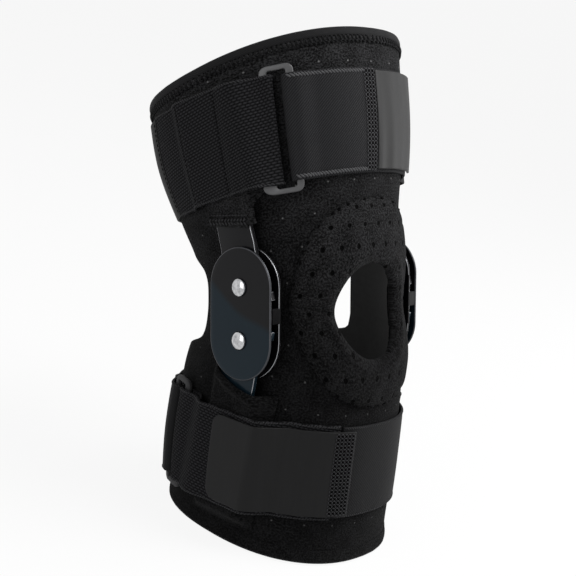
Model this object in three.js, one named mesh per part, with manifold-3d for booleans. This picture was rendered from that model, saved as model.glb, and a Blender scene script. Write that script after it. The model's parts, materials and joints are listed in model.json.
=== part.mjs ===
// Hinged knee brace: a padded sleeve in three lengths, a geared two-pivot hinge on each side,
// arms held in sewn pockets, and one ringed strap round the thigh and one round the calf.
// Straight-leg frame: Z up the leg, zero midway between the two pivots of a hinge,
// the outer side of the leg towards -X and the front towards -Y. Millimetres and degrees.
import * as THREE from 'three';
import { mergeVertices, toCreasedNormals } from 'three/addons/utils/BufferGeometryUtils.js';
import Module from 'manifold-3d';

const wasm = await Module();
wasm.setup();

// ---------------------------------------------------------------- driving dimensions
// Leg, measured on the outside of the sleeve
const KNEE_HALF_WIDTH = 62;
const KNEE_HALF_DEPTH = 52;
const THIGH_HALF_WIDTH = 71;
const THIGH_HALF_DEPTH = 74;
const CALF_HALF_WIDTH = 64;
const CALF_HALF_DEPTH = 69.5;
const THIGH_RIM_HEIGHT = 144;
const CALF_RIM_HEIGHT = 139;
const LEG_CENTRE = 12;             // the leg's axis lies behind the line of the pivots
const LEG_SQUARENESS = 2.3;        // 2 would be an ellipse
const THIGH_RIM_SLOPE = 10.7;      // the thigh rim stands higher in front
const CALF_RIM_SLOPE = -3;

// Hinge
const PIVOT_SPACING = 31;
const REST_BEND = 12;              // bend at each of the two pivots as the brace stands
const PLATE_RADIUS = 23.4;
const PLATE_THICKNESS = 1.6;
const WASHER_THICKNESS = 0.8;
const WASHER_RADIUS = 8;
const RIVET_RADIUS = 3.2;
const RIVET_HEAD_RADIUS = 5.5;
const RIVET_HEAD_HEIGHT = 2.4;
const RIVET_RIM_HEIGHT = 0.5;
const STOP_HEIGHT = 9;
const STOP_DEPTH = 6.4;
const GEAR_TEETH = 20;             // on a full circle; each head carries only the teeth it uses
const GEAR_BACKLASH = 0.32;
const PRESSURE_ANGLE = 20;

// Arms and the pockets that hold them
const ARM_THICKNESS = 3;
const ARM_WIDTH = 26;
const ARM_TIP_WIDTH = 21;
const THIGH_ARM_MARGIN = 24;       // from the tip of the arm up to the rim
const CALF_ARM_MARGIN = 21;
const POCKET_WIDTH = 46;
const POCKET_FABRIC = 1.5;
const THIGH_POCKET_START = 54;
const CALF_POCKET_START = 45;
const POCKET_END_MARGIN = 12;      // cloth above the tip of the arm

// Sleeve
const SLEEVE_THICKNESS = 3.5;
const THIGH_SEAM_HEIGHT = 58;
const CALF_SEAM_HEIGHT = 48;
const THIGH_SEAM_NOTCH = 4;        // the hems draw back behind the knee, to clear as it bends
const CALF_SEAM_NOTCH = 9;
const KNEE_WING_TURN = 124;        // the knee cloth ends here at hinge height, open behind
const KNEE_INNER_WING_TURN = 96;   // and here on the inner side of the leg
const KNEE_WING_SEAM_TURN = 158;
const PATELLA_HALF_WIDTH = 21;
const PATELLA_HALF_HEIGHT = 24;
const PAD_HALF_WIDTH = 48;
const PAD_HALF_HEIGHT = 50;
const PAD_THICKNESS = 3.2;
const PAD_LIFT = 4;                // the pad's outline stands this much higher than the opening
const BINDING_HEIGHT = 7;
const BINDING_THICKNESS = 0.9;

// Straps
const STRAP_THICKNESS = 1.4;
const TAB_THICKNESS = 1.5;
const THIGH_STRAP_HEIGHT = 62;
const THIGH_STRAP_MARGIN = 15.5;   // cloth between the strap and the rim
const THIGH_STRAP_SLOPE = 3.7;
const THIGH_TAB_HEIGHT = 57;
const THIGH_RING_TURN = 51;
const THIGH_ELASTIC_TURN = 119;    // the elastic ends and the rear tab begins
const REAR_TAB_TURN = 165;         // the rear tab and the webbing end, to either side of the middle behind
const THIGH_TAB_TURN = 2;
const CALF_STRAP_HEIGHT = 58;
const CALF_STRAP_MARGIN = 22;
const CALF_STRAP_SLOPE = 3;
const CALF_TAB_HEIGHT = 52;
const CALF_RING_TURN = 117;
const CALF_SEAM_TURN = 22.5;       // elastic, webbing and hook tab are sewn together here
const CALF_TAB_TURN = 88;
const RING_WIDTH = 20;
const RING_BAR = 4.6;
const RING_THICKNESS = 2.5;
const RING_OVERHANG = 5;           // the ring stands proud of the strap at each end
const FOLD_LENGTH = 15;
const FOLD_EASE = 0.3;             // the strap lies loosely round the ring's bar
const TAB_LIFT = 0.45;
const TAB_LENGTH = 56;
const TAB_CORNER = 7;

// Fits
const GAP = 0.35;                  // between pieces that touch
const CLOTH_GAP = 0.45;            // between layers of cloth
const BORE_CLEARANCE = 0.1;

// ---------------------------------------------------------------- materials
const cloth = (hex) => new THREE.MeshStandardMaterial({ color: hex, roughness: 0.95 });
const metal = (hex, roughness) => new THREE.MeshStandardMaterial({ color: hex, roughness, metalness: 1 });
const plastic = (hex, roughness) => new THREE.MeshStandardMaterial({ color: hex, roughness });

// ---------------------------------------------------------------- solids
const rad = THREE.MathUtils.degToRad;
const step = THREE.MathUtils.smoothstep;

function toManifold(geometry) {
  const bare = geometry.clone();
  bare.deleteAttribute('normal');
  bare.deleteAttribute('uv');
  const merged = mergeVertices(bare, 1e-4);
  const mesh = new wasm.Mesh({
    numProp: 3,
    vertProperties: new Float32Array(merged.attributes.position.array),
    triVerts: new Uint32Array(merged.index.array),
  });
  return new wasm.Manifold(mesh);
}

function toGeometry(manifold) {
  const mesh = manifold.getMesh();
  const geometry = new THREE.BufferGeometry();
  geometry.setAttribute('position', new THREE.BufferAttribute(new Float32Array(mesh.vertProperties), 3));
  geometry.setIndex(new THREE.BufferAttribute(new Uint32Array(mesh.triVerts), 1));
  return geometry;
}

const join = (...all) => toGeometry(all.map(toManifold).reduce((a, b) => a.add(b)));
const cut = (a, ...rest) => toGeometry(rest.map(toManifold).reduce((m, b) => m.subtract(b), toManifold(a)));
const common = (a, b) => toGeometry(toManifold(a).intersect(toManifold(b)));

// Turns every face outwards, whichever way round the points were laid.
function faceOut(geometry) {
  const p = geometry.attributes.position;
  const index = geometry.index.array;
  const [a, b, c] = [new THREE.Vector3(), new THREE.Vector3(), new THREE.Vector3()];
  let volume = 0;
  for (let i = 0; i < index.length; i += 3) {
    a.fromBufferAttribute(p, index[i]);
    b.fromBufferAttribute(p, index[i + 1]);
    c.fromBufferAttribute(p, index[i + 2]);
    volume += a.dot(b.cross(c));
  }
  if (volume < 0) {
    for (let i = 0; i < index.length; i += 3) [index[i], index[i + 1]] = [index[i + 1], index[i]];
  }
  return geometry;
}

// A closed solid through matching rings of points. Open runs are capped across: each ring goes
// out along one face and comes back along the other, so its points face each other in pairs.
// A run that goes all the way round joins its last ring to the first.
function loft(rings, goesRound = false) {
  const n = rings[0].length;
  const faces = [];
  const last = goesRound ? rings.length : rings.length - 1;
  for (let r = 0; r < last; r++) {
    const next = (r + 1) % rings.length;
    for (let i = 0; i < n; i++) {
      const j = (i + 1) % n;
      faces.push(r * n + i, r * n + j, next * n + j);
      faces.push(r * n + i, next * n + j, next * n + i);
    }
  }
  const end = (rings.length - 1) * n;
  for (let i = 0; !goesRound && i < n / 2 - 1; i++) {
    const across = n - 1 - i;
    faces.push(i, across, i + 1);
    faces.push(i + 1, across, across - 1);
    faces.push(end + i, end + i + 1, end + across);
    faces.push(end + i + 1, end + across - 1, end + across);
  }
  const geometry = new THREE.BufferGeometry();
  const points = rings.flat().flatMap((p) => [p.x, p.y, p.z]);
  geometry.setAttribute('position', new THREE.Float32BufferAttribute(points, 3));
  geometry.setIndex(faces);
  return faceOut(geometry);
}

const range = (from, to, count) => {
  return Array.from({ length: count + 1 }, (_, i) => from + ((to - from) * i) / count);
};

// Moves every point of a solid through a function.
function reshape(geometry, move) {
  const bare = geometry.clone();
  bare.deleteAttribute('normal');
  bare.deleteAttribute('uv');
  const merged = mergeVertices(bare, 1e-4);
  const p = merged.attributes.position;
  const v = new THREE.Vector3();
  for (let i = 0; i < p.count; i++) {
    v.fromBufferAttribute(p, i);
    const q = move(v);
    p.setXYZ(i, q.x, q.y, q.z);
  }
  return faceOut(merged);
}

// A flat shape drawn in (Y, Z) and given thickness along X from one distance to another.
function slab(shape, from, to, side, bevel = 0) {
  const geometry = new THREE.ExtrudeGeometry(shape, {
    depth: to - from - 2 * bevel,
    bevelEnabled: bevel > 0,
    bevelThickness: bevel,
    bevelSize: bevel,
    bevelOffset: -bevel,
    bevelSegments: 1,
    curveSegments: 8,
  });
  return reshape(geometry, (v) => new THREE.Vector3(side * (from + bevel + v.z), v.x, v.y));
}

// ---------------------------------------------------------------- levels along the leg
const thighStrapLevel = THIGH_RIM_HEIGHT - THIGH_STRAP_MARGIN - THIGH_STRAP_HEIGHT / 2;
const calfStrapLevel = CALF_RIM_HEIGHT - CALF_STRAP_MARGIN - CALF_STRAP_HEIGHT / 2;
const armHeight = { 1: THIGH_RIM_HEIGHT - THIGH_ARM_MARGIN, [-1]: CALF_RIM_HEIGHT - CALF_ARM_MARGIN };

// ---------------------------------------------------------------- the leg's surface
const hingeReach = PIVOT_SPACING / 2 + PLATE_RADIUS;
const station = (height, halfWidth, halfDepth, centre) => ({ height, halfWidth, halfDepth, centre });
const LEG_STATIONS = [
  station(-CALF_RIM_HEIGHT, CALF_HALF_WIDTH - 1, CALF_HALF_DEPTH - 1.5, LEG_CENTRE - 5.5),
  station(-calfStrapLevel, CALF_HALF_WIDTH, CALF_HALF_DEPTH, LEG_CENTRE - 1),
  station(-hingeReach, KNEE_HALF_WIDTH, CALF_HALF_DEPTH - 4, LEG_CENTRE + 0.5),
  station(0, KNEE_HALF_WIDTH, KNEE_HALF_DEPTH, LEG_CENTRE),
  station(hingeReach, KNEE_HALF_WIDTH, KNEE_HALF_DEPTH + 8, LEG_CENTRE),
  station(thighStrapLevel, THIGH_HALF_WIDTH, THIGH_HALF_DEPTH, LEG_CENTRE + 0.8),
  station(THIGH_RIM_HEIGHT, THIGH_HALF_WIDTH + 2.4, THIGH_HALF_DEPTH + 2.4, LEG_CENTRE - 2),
];
const legCurve = new THREE.CubicInterpolant(
  LEG_STATIONS.map((s) => s.height),
  LEG_STATIONS.flatMap((s) => [s.halfWidth, s.halfDepth, s.centre]),
  3,
);

function legSection(height) {
  const inside = THREE.MathUtils.clamp(height, -CALF_RIM_HEIGHT - 8, THIGH_RIM_HEIGHT + 14);
  const [halfWidth, halfDepth, centre] = legCurve.evaluate(inside);
  return { halfWidth, halfDepth, centre };
}

// How far forward a turn lies: 1 in front, -1 behind, in step with the depth of the section.
function forward(turn) {
  const cos = Math.cos(rad(turn));
  return Math.sign(cos) * Math.abs(cos) ** (2 / LEG_SQUARENESS);
}

// A point on the leg: turn runs from the front (0) past the outer side (90) to the back (180).
function onLeg(turn, height, offset) {
  const { halfWidth, halfDepth, centre } = legSection(height);
  const sin = Math.sin(rad(turn));
  const x = -(halfWidth + offset) * Math.sign(sin) * Math.abs(sin) ** (2 / LEG_SQUARENESS);
  const y = centre - (halfDepth + offset) * forward(turn);
  return new THREE.Vector3(x, y, height);
}

// How far the side of the leg stands out at one depth and height.
function sideOut(y, height) {
  const { halfWidth, halfDepth, centre } = legSection(height);
  const across = Math.min(Math.abs(y - centre) / halfDepth, 1);
  return halfWidth * (1 - across ** LEG_SQUARENESS) ** (1 / LEG_SQUARENESS);
}

// The knee bends at the pivots: rigid beyond the plates, blending between them.
const BEND_START = 5;
const BEND_END = hingeReach + 3;
function bent(p, share = step(Math.abs(p.z), BEND_START, BEND_END)) {
  const side = Math.sign(p.z) || 1;
  const pivot = (side * PIVOT_SPACING) / 2;
  const angle = -side * rad(REST_BEND) * share;
  const y = p.y * Math.cos(angle) - (p.z - pivot) * Math.sin(angle);
  const z = pivot + p.y * Math.sin(angle) + (p.z - pivot) * Math.cos(angle);
  return new THREE.Vector3(p.x, y, z);
}

// Rigid pieces of one half turn with their pivot as a whole.
function turned(geometry, half) {
  const pivot = (half * PIVOT_SPACING) / 2;
  const angle = -half * rad(REST_BEND);
  return geometry.clone().translate(0, 0, -pivot).rotateX(angle).translate(0, 0, pivot);
}

// ---------------------------------------------------------------- hinge stack, outwards from the leg
const innerPlateAt = KNEE_HALF_WIDTH + 2 * GAP;
const innerWasherAt = innerPlateAt + PLATE_THICKNESS + GAP;
const armAt = innerWasherAt + WASHER_THICKNESS + GAP;
const outerWasherAt = armAt + ARM_THICKNESS + GAP;
const outerPlateAt = outerWasherAt + WASHER_THICKNESS + GAP;
const rivetHeadAt = outerPlateAt + PLATE_THICKNESS + GAP;

function circleHole(y, z, radius) {
  const hole = new THREE.Path();
  hole.absarc(y, z, radius, 0, 2 * Math.PI, true);
  return hole;
}

function stadium(radius) {
  const shape = new THREE.Shape();
  shape.absarc(0, PIVOT_SPACING / 2, radius, 0, Math.PI, false);
  shape.absarc(0, -PIVOT_SPACING / 2, radius, Math.PI, 2 * Math.PI, false);
  shape.closePath();
  return shape;
}

function box(y0, y1, z0, z1) {
  const shape = new THREE.Shape();
  shape.moveTo(y0, z0);
  shape.lineTo(y1, z0);
  shape.lineTo(y1, z1);
  shape.lineTo(y0, z1);
  shape.closePath();
  return shape;
}

// Turned pieces: profile points are (radius, distance out from the leg's middle plane).
function lathed(profile, side, z, segments) {
  const closed = profile.map(([r, x]) => new THREE.Vector2(Math.max(r, 0), x));
  closed.push(closed[0].clone());
  const geometry = new THREE.LatheGeometry(closed, segments);
  return reshape(geometry, (v) => new THREE.Vector3(side * v.y, v.x, v.z + z));
}

const boreGap = GAP + BORE_CLEARANCE;
const countersink = RIVET_RADIUS + PLATE_THICKNESS - 0.2;

function innerPlate(side) {
  const plate = slab(stadium(PLATE_RADIUS), innerPlateAt, innerPlateAt + PLATE_THICKNESS, side);
  const stop = slab(
    box(-PLATE_RADIUS, -PLATE_RADIUS + STOP_DEPTH, -STOP_HEIGHT / 2, STOP_HEIGHT / 2),
    innerPlateAt,
    outerPlateAt - GAP,
    side,
  );
  const holes = [-1, 1].map((half) => lathed([
    [0, innerPlateAt - 1],
    [countersink + boreGap + 1.15, innerPlateAt - 1],
    [RIVET_RADIUS + boreGap, innerPlateAt + PLATE_THICKNESS - 0.05],
    [RIVET_RADIUS + boreGap, innerPlateAt + PLATE_THICKNESS + 1],
    [0, innerPlateAt + PLATE_THICKNESS + 1],
  ], side, (half * PIVOT_SPACING) / 2, 16));
  return cut(join(plate, stop), ...holes);
}

function outerPlate(side) {
  const shape = stadium(PLATE_RADIUS);
  for (const half of [-1, 1]) {
    shape.holes.push(circleHole(0, (half * PIVOT_SPACING) / 2, RIVET_RADIUS + boreGap));
  }
  return slab(shape, outerPlateAt, outerPlateAt + PLATE_THICKNESS, side, 0.4);
}

function rivet(side, half) {
  const r = RIVET_HEAD_RADIUS;
  const rise = RIVET_HEAD_HEIGHT - RIVET_RIM_HEIGHT;
  const dome = range(0, 90, 4).map((a) => [
    r * Math.cos(rad(a)),
    rivetHeadAt + RIVET_RIM_HEIGHT + rise * Math.sin(rad(a)),
  ]);
  return lathed([
    [0, innerPlateAt],
    [countersink, innerPlateAt],
    [RIVET_RADIUS, innerPlateAt + PLATE_THICKNESS - 0.2],
    [RIVET_RADIUS, rivetHeadAt],
    [r, rivetHeadAt],
    ...dome,
  ], side, (half * PIVOT_SPACING) / 2, 16);
}

function washer(side, half, at) {
  return lathed([
    [RIVET_RADIUS + boreGap, at],
    [WASHER_RADIUS, at],
    [WASHER_RADIUS, at + WASHER_THICKNESS],
    [RIVET_RADIUS + boreGap, at + WASHER_THICKNESS],
  ], side, (half * PIVOT_SPACING) / 2, 16);
}

// ---------------------------------------------------------------- arms
const involute = (angle) => Math.tan(angle) - angle;

// The geared head of an arm, round its own pivot, teeth facing the other pivot.
function gearHead(half) {
  const pitch = PIVOT_SPACING / 2;
  const module = (2 * pitch) / GEAR_TEETH;
  const base = pitch * Math.cos(rad(PRESSURE_ANGLE));
  const tip = pitch + 0.78 * module;
  const root = pitch - 1.1 * module;
  const halfTooth = (r) => {
    const atPitch = Math.PI / (2 * GEAR_TEETH) - GEAR_BACKLASH / (2 * pitch);
    return atPitch + involute(rad(PRESSURE_ANGLE)) - involute(Math.acos(Math.min(base / r, 1)));
  };
  const pitchAngle = (2 * Math.PI) / GEAR_TEETH;
  const phase = half > 0 ? 0 : pitchAngle / 2;
  const teeth = half > 0 ? [-1, 0, 1, 2, 3, 4] : [-2, -1, 0, 1, 2, 3];
  const points = [];
  const put = (r, angle) => points.push([r * Math.sin(angle), half * (pitch - r * Math.cos(angle))]);
  for (const k of teeth) {
    const middle = k * pitchAngle + phase;
    const flank = [root, base, pitch, tip];
    for (const r of flank) put(r, middle - halfTooth(Math.max(r, base)));
    for (const r of flank.reverse()) put(r, middle + halfTooth(Math.max(r, base)));
  }
  const first = teeth[0] * pitchAngle + phase - halfTooth(base);
  const end = teeth.at(-1) * pitchAngle + phase + halfTooth(base);
  for (const a of range(end, first + 2 * Math.PI, 16).slice(1, -1)) put(root, a);
  const shape = new THREE.Shape();
  points.forEach(([y, z], i) => (i ? shape.lineTo(y, z) : shape.moveTo(y, z)));
  shape.closePath();
  return shape;
}

// The nose that meets the stop when the knee is straight.
function stopNose(half) {
  const near = half * (STOP_HEIGHT / 2 + GAP);
  const far = near + half * 5;
  return box(-PLATE_RADIUS + 3.4, -PIVOT_SPACING / 3, near, far);
}

const flareStart = hingeReach + 1;

// How much the arm leans outwards past the plates so that it lies on the sleeve.
function armFlare(half) {
  const clear = CLOTH_GAP;
  const heights = range(flareStart + 16, armHeight[half], 12);
  const slopes = heights.map((h) => (legSection(half * h).halfWidth + clear - armAt) / (h - flareStart));
  return Math.max(0, ...slopes);
}
const flare = { 1: armFlare(1), [-1]: armFlare(-1) };
const armOut = (half, height) => {
  return armAt + ARM_THICKNESS + flare[half] * Math.max(Math.abs(height) - flareStart, 0);
};

// The bent sheet the arm is stamped from, wide enough for any outline.
function armSheet(side, half, grow, inward = grow) {
  const end = armHeight[half] + 20;
  const rise = flare[half] * (end - flareStart);
  const corners = [
    [armAt - inward, -40],
    [armAt - inward, flareStart],
    [armAt + rise - inward, end],
    [armAt + ARM_THICKNESS + rise + grow, end],
    [armAt + ARM_THICKNESS + grow, flareStart],
    [armAt + ARM_THICKNESS + grow, -40],
  ];
  const rings = [-40, 40].map((y) => corners.map(([x, z]) => new THREE.Vector3(side * x, y, half * z)));
  return loft(rings);
}

function bladeOutline(half, grow) {
  const wide = ARM_WIDTH / 2 + grow;
  const narrow = ARM_TIP_WIDTH / 2 + grow;
  const tip = armHeight[half] + grow;
  const round = narrow * 0.8;
  const pivot = PIVOT_SPACING / 2;
  const right = [[wide, pivot], [wide, flareStart], [narrow, tip - round]];
  const end = range(0, 90, 5).map((a) => [
    narrow - round + round * Math.cos(rad(a)),
    tip - round + round * Math.sin(rad(a)),
  ]);
  const side = [...right, ...end];
  const points = [...side, ...side.map(([y, z]) => [-y, z]).reverse()];
  const shape = new THREE.Shape();
  points.forEach(([y, z], i) => (i ? shape.lineTo(y, half * z) : shape.moveTo(y, half * z)));
  shape.closePath();
  return shape;
}

function arm(side, half) {
  const thick = [armAt - 10, armAt + 60, side];
  const outline = join(
    slab(gearHead(half), ...thick),
    slab(bladeOutline(half, 0), ...thick),
    slab(stopNose(half), ...thick),
  );
  const hole = lathed([
    [0, armAt - 12],
    [RIVET_RADIUS + boreGap, armAt - 12],
    [RIVET_RADIUS + boreGap, armAt + 62],
    [0, armAt + 62],
  ], side, (half * PIVOT_SPACING) / 2, 16);
  return turned(cut(common(outline, armSheet(side, half, 0)), hole), half);
}

// ---------------------------------------------------------------- strap levels
const strapLevel = { 1: thighStrapLevel, [-1]: -calfStrapLevel };
const strapTall = { 1: THIGH_STRAP_HEIGHT, [-1]: CALF_STRAP_HEIGHT };
const strapSlope = { 1: THIGH_STRAP_SLOPE, [-1]: CALF_STRAP_SLOPE };

// ---------------------------------------------------------------- pockets
const pocketStart = { 1: THIGH_POCKET_START, [-1]: CALF_POCKET_START };
const pocketEnd = { 1: armHeight[1] + POCKET_END_MARGIN, [-1]: armHeight[-1] + POCKET_END_MARGIN - 2 };
const armClear = 0.4;
const pocketSpread = 4;

const hem = CLOTH_GAP + 1.1;

// How far the pocket's face stands out at the side of the leg; spread widens the bump for a layer over it.
function pocketOut(half, y, height, spread = 0) {
  const onSkin = sideOut(y, height);
  const flat = armOut(half, height) + armClear + POCKET_FABRIC;
  const edge = POCKET_WIDTH / 2;
  const across = 1 - step(Math.abs(y), ARM_WIDTH / 2 + armClear + 1.4 + spread, edge - 1 + 2.5 * spread);
  const along = spread ? 1 : 1 - step(Math.abs(height), armHeight[half] + 2, pocketEnd[half]);
  const border = spread ? 1 - step(Math.abs(y), edge + 0.5, edge + 2.5 * spread) : 1;
  return onSkin + hem * border + Math.max(flat - onSkin - hem, 0) * across * along;
}

function pocket(side, half) {
  const edge = POCKET_WIDTH / 2;
  const level = Math.abs(strapLevel[half]);
  const strapEdge = level - strapTall[half] / 2;
  const tip = armHeight[half];
  const underStrap = [strapEdge, (strapEdge + level) / 2, level, (level + tip) / 2, tip];
  const heights = [pocketStart[half], ...underStrap.filter((h) => h > pocketStart[half] + 2)];
  const closing = range(tip, pocketEnd[half], 3).slice(1);
  const ys = range(-edge, edge, 14);
  const rings = [...heights, ...closing].map((h) => {
    const z = half * h;
    const bottom = ys.map((y) => new THREE.Vector3(side * (sideOut(y, z) + CLOTH_GAP), y, z));
    const top = ys.map((y) => new THREE.Vector3(side * pocketOut(half, y, z), y, z)).reverse();
    return [...bottom, ...top];
  });
  const body = loft(rings);
  const cavity = common(
    slab(bladeOutline(half, armClear), armAt - 10, armAt + 60, side),
    armSheet(side, half, armClear, 8),
  );
  return turned(cut(body, cavity), half);
}

// A point of a strap layer: follows the leg, rides over the pockets.
function overLeg(turn, height, offset) {
  const p = onLeg(turn, height, offset);
  const under = onLeg(turn, height, 0);
  if (Math.abs(under.y) > POCKET_WIDTH / 2 + 2.5 * pocketSpread) return p;
  const cover = pocketOut(Math.sign(height), under.y, height, pocketSpread) - sideOut(under.y, height);
  return new THREE.Vector3(p.x + Math.sign(p.x) * cover, p.y, p.z);
}

// ---------------------------------------------------------------- sleeves
const aroundCount = 42;

// Levels round the leg, each a function of the turn: a tilted rim, and the hem of a half at the knee.
// Slope is the rise from the middle of the leg to its front, and the rim lies in one plane.
const tilted = (height, slope) => (turn, offset = 0) => {
  const { halfDepth, centre } = legSection(height);
  let level = height;
  for (let i = 0; i < 4; i++) {
    level = height + (slope * (centre - onLeg(turn, level, offset).y)) / halfDepth;
  }
  return level;
};
const seamHeight = { 1: THIGH_SEAM_HEIGHT, [-1]: CALF_SEAM_HEIGHT };
const seamNotch = { 1: THIGH_SEAM_NOTCH, [-1]: CALF_SEAM_NOTCH };
const hemLevel = (half) => (turn) => {
  const behind = Math.max(0, -forward(turn)) ** 2;
  return half * (seamHeight[half] + seamNotch[half] * behind);
};

// A length of sleeve closed all round, through levels from one end to the other.
function tube(levels) {
  const rings = range(0, 360, aroundCount).slice(0, -1).map((turn) => {
    const at = (offset) => levels.map((level) => bent(onLeg(turn, level(turn, offset), offset)));
    return [...at(0), ...at(-SLEEVE_THICKNESS).reverse()];
  });
  return loft(rings, true);
}

const strapRows = (half) => [-1, 0, 1].map((up) => {
  return tilted(strapLevel[half] + (up * strapTall[half]) / 2, strapSlope[half]);
});

// Where the cloth of the knee ends behind, wider towards the seams above and below.
function wingTurn(height, narrow) {
  const edge = seamHeight[height > 0 ? 1 : -1];
  const widening = step(Math.abs(height), edge * 0.45, edge);
  return narrow + (KNEE_WING_SEAM_TURN - narrow) * widening;
}

function patellaOval(halfWidth, halfHeight, lift, angle) {
  const { halfDepth } = legSection(0);
  const turn = THREE.MathUtils.radToDeg((halfWidth * Math.cos(rad(angle))) / halfDepth);
  return [turn + 2, lift + halfHeight * Math.sin(rad(angle))];
}

function kneeSleeve() {
  const heights = range(-CALF_SEAM_HEIGHT + GAP, THIGH_SEAM_HEIGHT - GAP, 13);
  const rings = range(-1, 1, 30).map((share) => {
    const narrow = share > 0 ? KNEE_WING_TURN : KNEE_INNER_WING_TURN;
    const at = (offset) => heights.map((height) => {
      const turn = share * wingTurn(height, narrow);
      const half = height > 0 ? 1 : -1;
      const stretch = hemLevel(half)(turn) / (half * seamHeight[half]);
      return bent(onLeg(turn, height * stretch, offset));
    });
    return [...at(0), ...at(-SLEEVE_THICKNESS).reverse()];
  });
  const wall = loft(rings);
  const angles = range(0, 360, 24).slice(0, -1);
  const opening = [-SLEEVE_THICKNESS - 8, 8].map((offset) => angles.map((angle) => {
    const [turn, height] = patellaOval(PATELLA_HALF_WIDTH, PATELLA_HALF_HEIGHT, 0, angle);
    return bent(onLeg(turn, height, offset));
  }));
  return cut(wall, loft(opening));
}

// Soft ring round the kneecap, thickest near the opening.
function patellaPad() {
  const face = [[0, 0.8], [0.12, 1], [0.45, 0.95], [0.8, 0.6], [1, 0.3]];
  const back = [[1, 0], [0.75, 0], [0.5, 0], [0.25, 0], [0, 0]];
  const rings = range(0, 360, 40).slice(0, -1).map((angle) => {
    return [...face, ...back].map(([share, lift]) => {
      const width = PATELLA_HALF_WIDTH + 1 + (PAD_HALF_WIDTH - PATELLA_HALF_WIDTH - 1) * share;
      const height = PATELLA_HALF_HEIGHT + 1 + (PAD_HALF_HEIGHT - PATELLA_HALF_HEIGHT - 1) * share;
      const [turn, level] = patellaOval(width, height, PAD_LIFT * share, angle);
      return bent(onLeg(turn, level, CLOTH_GAP + 0.15 + PAD_THICKNESS * lift));
    });
  });
  return loft(rings, true);
}

// Folded edge tape on a rim of the sleeve.
function binding(edge, slope, half) {
  const t = BINDING_THICKNESS;
  const outer = GAP + t;
  const inner = -SLEEVE_THICKNESS - GAP - t;
  const profile = [
    [outer, -BINDING_HEIGHT],
    [outer, GAP + t],
    [inner, GAP + t],
    [inner, -BINDING_HEIGHT],
    [inner + t, -BINDING_HEIGHT],
    [inner + t, GAP],
    [outer - t, GAP],
    [outer - t, -BINDING_HEIGHT],
  ];
  const rings = range(0, 360, aroundCount).slice(0, -1).map((turn) => {
    const level = tilted(half * edge, slope);
    return profile.map(([offset, up]) => bent(onLeg(turn, level(turn, offset) + half * up, offset)));
  });
  return loft(rings, true);
}

// ---------------------------------------------------------------- straps
// Measures along a strap are taken on the mean round of the leg there.
const strapRadius = {
  1: (THIGH_HALF_WIDTH + THIGH_HALF_DEPTH) / 2,
  [-1]: (CALF_HALF_WIDTH + CALF_HALF_DEPTH) / 2,
};
const toTurn = (half, length) => THREE.MathUtils.radToDeg(length / strapRadius[half]);

function onStrap(half, turn, up, offset) {
  return overLeg(turn, strapLevel[half] + strapSlope[half] * forward(turn) + up, offset);
}

// Outline of a layer of even thickness along a path of (length, offset) points.
function ribbon(path, thickness) {
  const sides = [1, -1].map((sign) => path.map(([s, d], i) => {
    const [s0, d0] = path[Math.max(i - 1, 0)];
    const [s1, d1] = path[Math.min(i + 1, path.length - 1)];
    const run = Math.hypot(s1 - s0, d1 - d0);
    return [s - (sign * (d1 - d0) * thickness) / 2 / run, d + (sign * (s1 - s0) * thickness) / 2 / run];
  }));
  return [...sides[0], ...sides[1].reverse()];
}

// A strap layer: the path's points lie round the leg, the cloth stands across it.
function strap(half, path, height, thickness, corner = 0) {
  const outline = ribbon(path, thickness);
  const end = path.at(-1)[0];
  const away = Math.sign(path.at(-2)[0] - end);
  const edges = corner
    ? [[-1, corner], [-1 + (0.6 * corner) / height, 0.42 * corner], [-1 + (2 * corner) / height, 0], [0, 0]]
    : [[-1, 0], [0, 0]];
  const rows = [...edges, ...edges.slice(0, -1).reverse().map(([up, pull]) => [-up, pull])];
  const rings = rows.map(([up, pull]) => outline.map(([s, d]) => {
    const nearEnd = Math.abs(s - end) < 0.01 ? away * pull : 0;
    return onStrap(half, toTurn(half, s + nearEnd), (up * height) / 2, d);
  }));
  return turned(loft(rings), half);
}

// Offsets of the layers near a ring: the strap comes in below, turns round the bar, and goes back above.
const lowLayer = CLOTH_GAP + STRAP_THICKNESS / 2;
const foldRadius = RING_THICKNESS / 2 + CLOTH_GAP + FOLD_EASE + STRAP_THICKNESS / 2;
const ringOffset = lowLayer + foldRadius;
const highLayer = lowLayer + STRAP_THICKNESS + CLOTH_GAP;
const barCentre = (RING_WIDTH - RING_BAR) / 2;

// The turn of a strap round one bar of its ring, from the lower layer to the upper one.
function fold(at, way) {
  const flat = RING_BAR / 2 - FOLD_EASE;
  const half = range(-90, 90, 6).map((a) => [
    at + way * (flat + foldRadius * Math.cos(rad(a))),
    ringOffset + foldRadius * Math.sin(rad(a)),
  ]);
  return half;
}

// Points on one level between two lengths, on marks shared by every layer so that they nest.
const STRAP_PITCH = 6;
function along(from, to, offset) {
  const way = Math.sign(to - from);
  const marks = [];
  const [low, high] = [Math.min(from, to), Math.max(from, to)];
  for (let mark = Math.ceil(low / STRAP_PITCH) * STRAP_PITCH; mark < high; mark += STRAP_PITCH) {
    if (mark - low > 1 && high - mark > 1) marks.push(mark);
  }
  if (way < 0) marks.reverse();
  return [from, ...marks, to].map((s) => [s, offset]);
}

// The descent from above the ring's bar, over the folded end, to the layer the strap goes on in.
function easeDown(from, way, target) {
  const high = ringOffset + foldRadius;
  const over = range(0, 1, 6).map((t) => [
    from + way * t * FOLD_LENGTH,
    high + (highLayer - high) * step(t, 0, 1),
  ]);
  if (target === highLayer) return over;
  const end = from + way * (FOLD_LENGTH + 3);
  const down = range(0, 1, 3).slice(1).map((t) => [
    end + way * t * 6,
    highLayer + (target - highLayer) * step(t, 0, 1),
  ]);
  return [...over, [end, highLayer], ...down];
}

function lengthAt(half, turn) {
  return rad(turn) * strapRadius[half];
}

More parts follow.
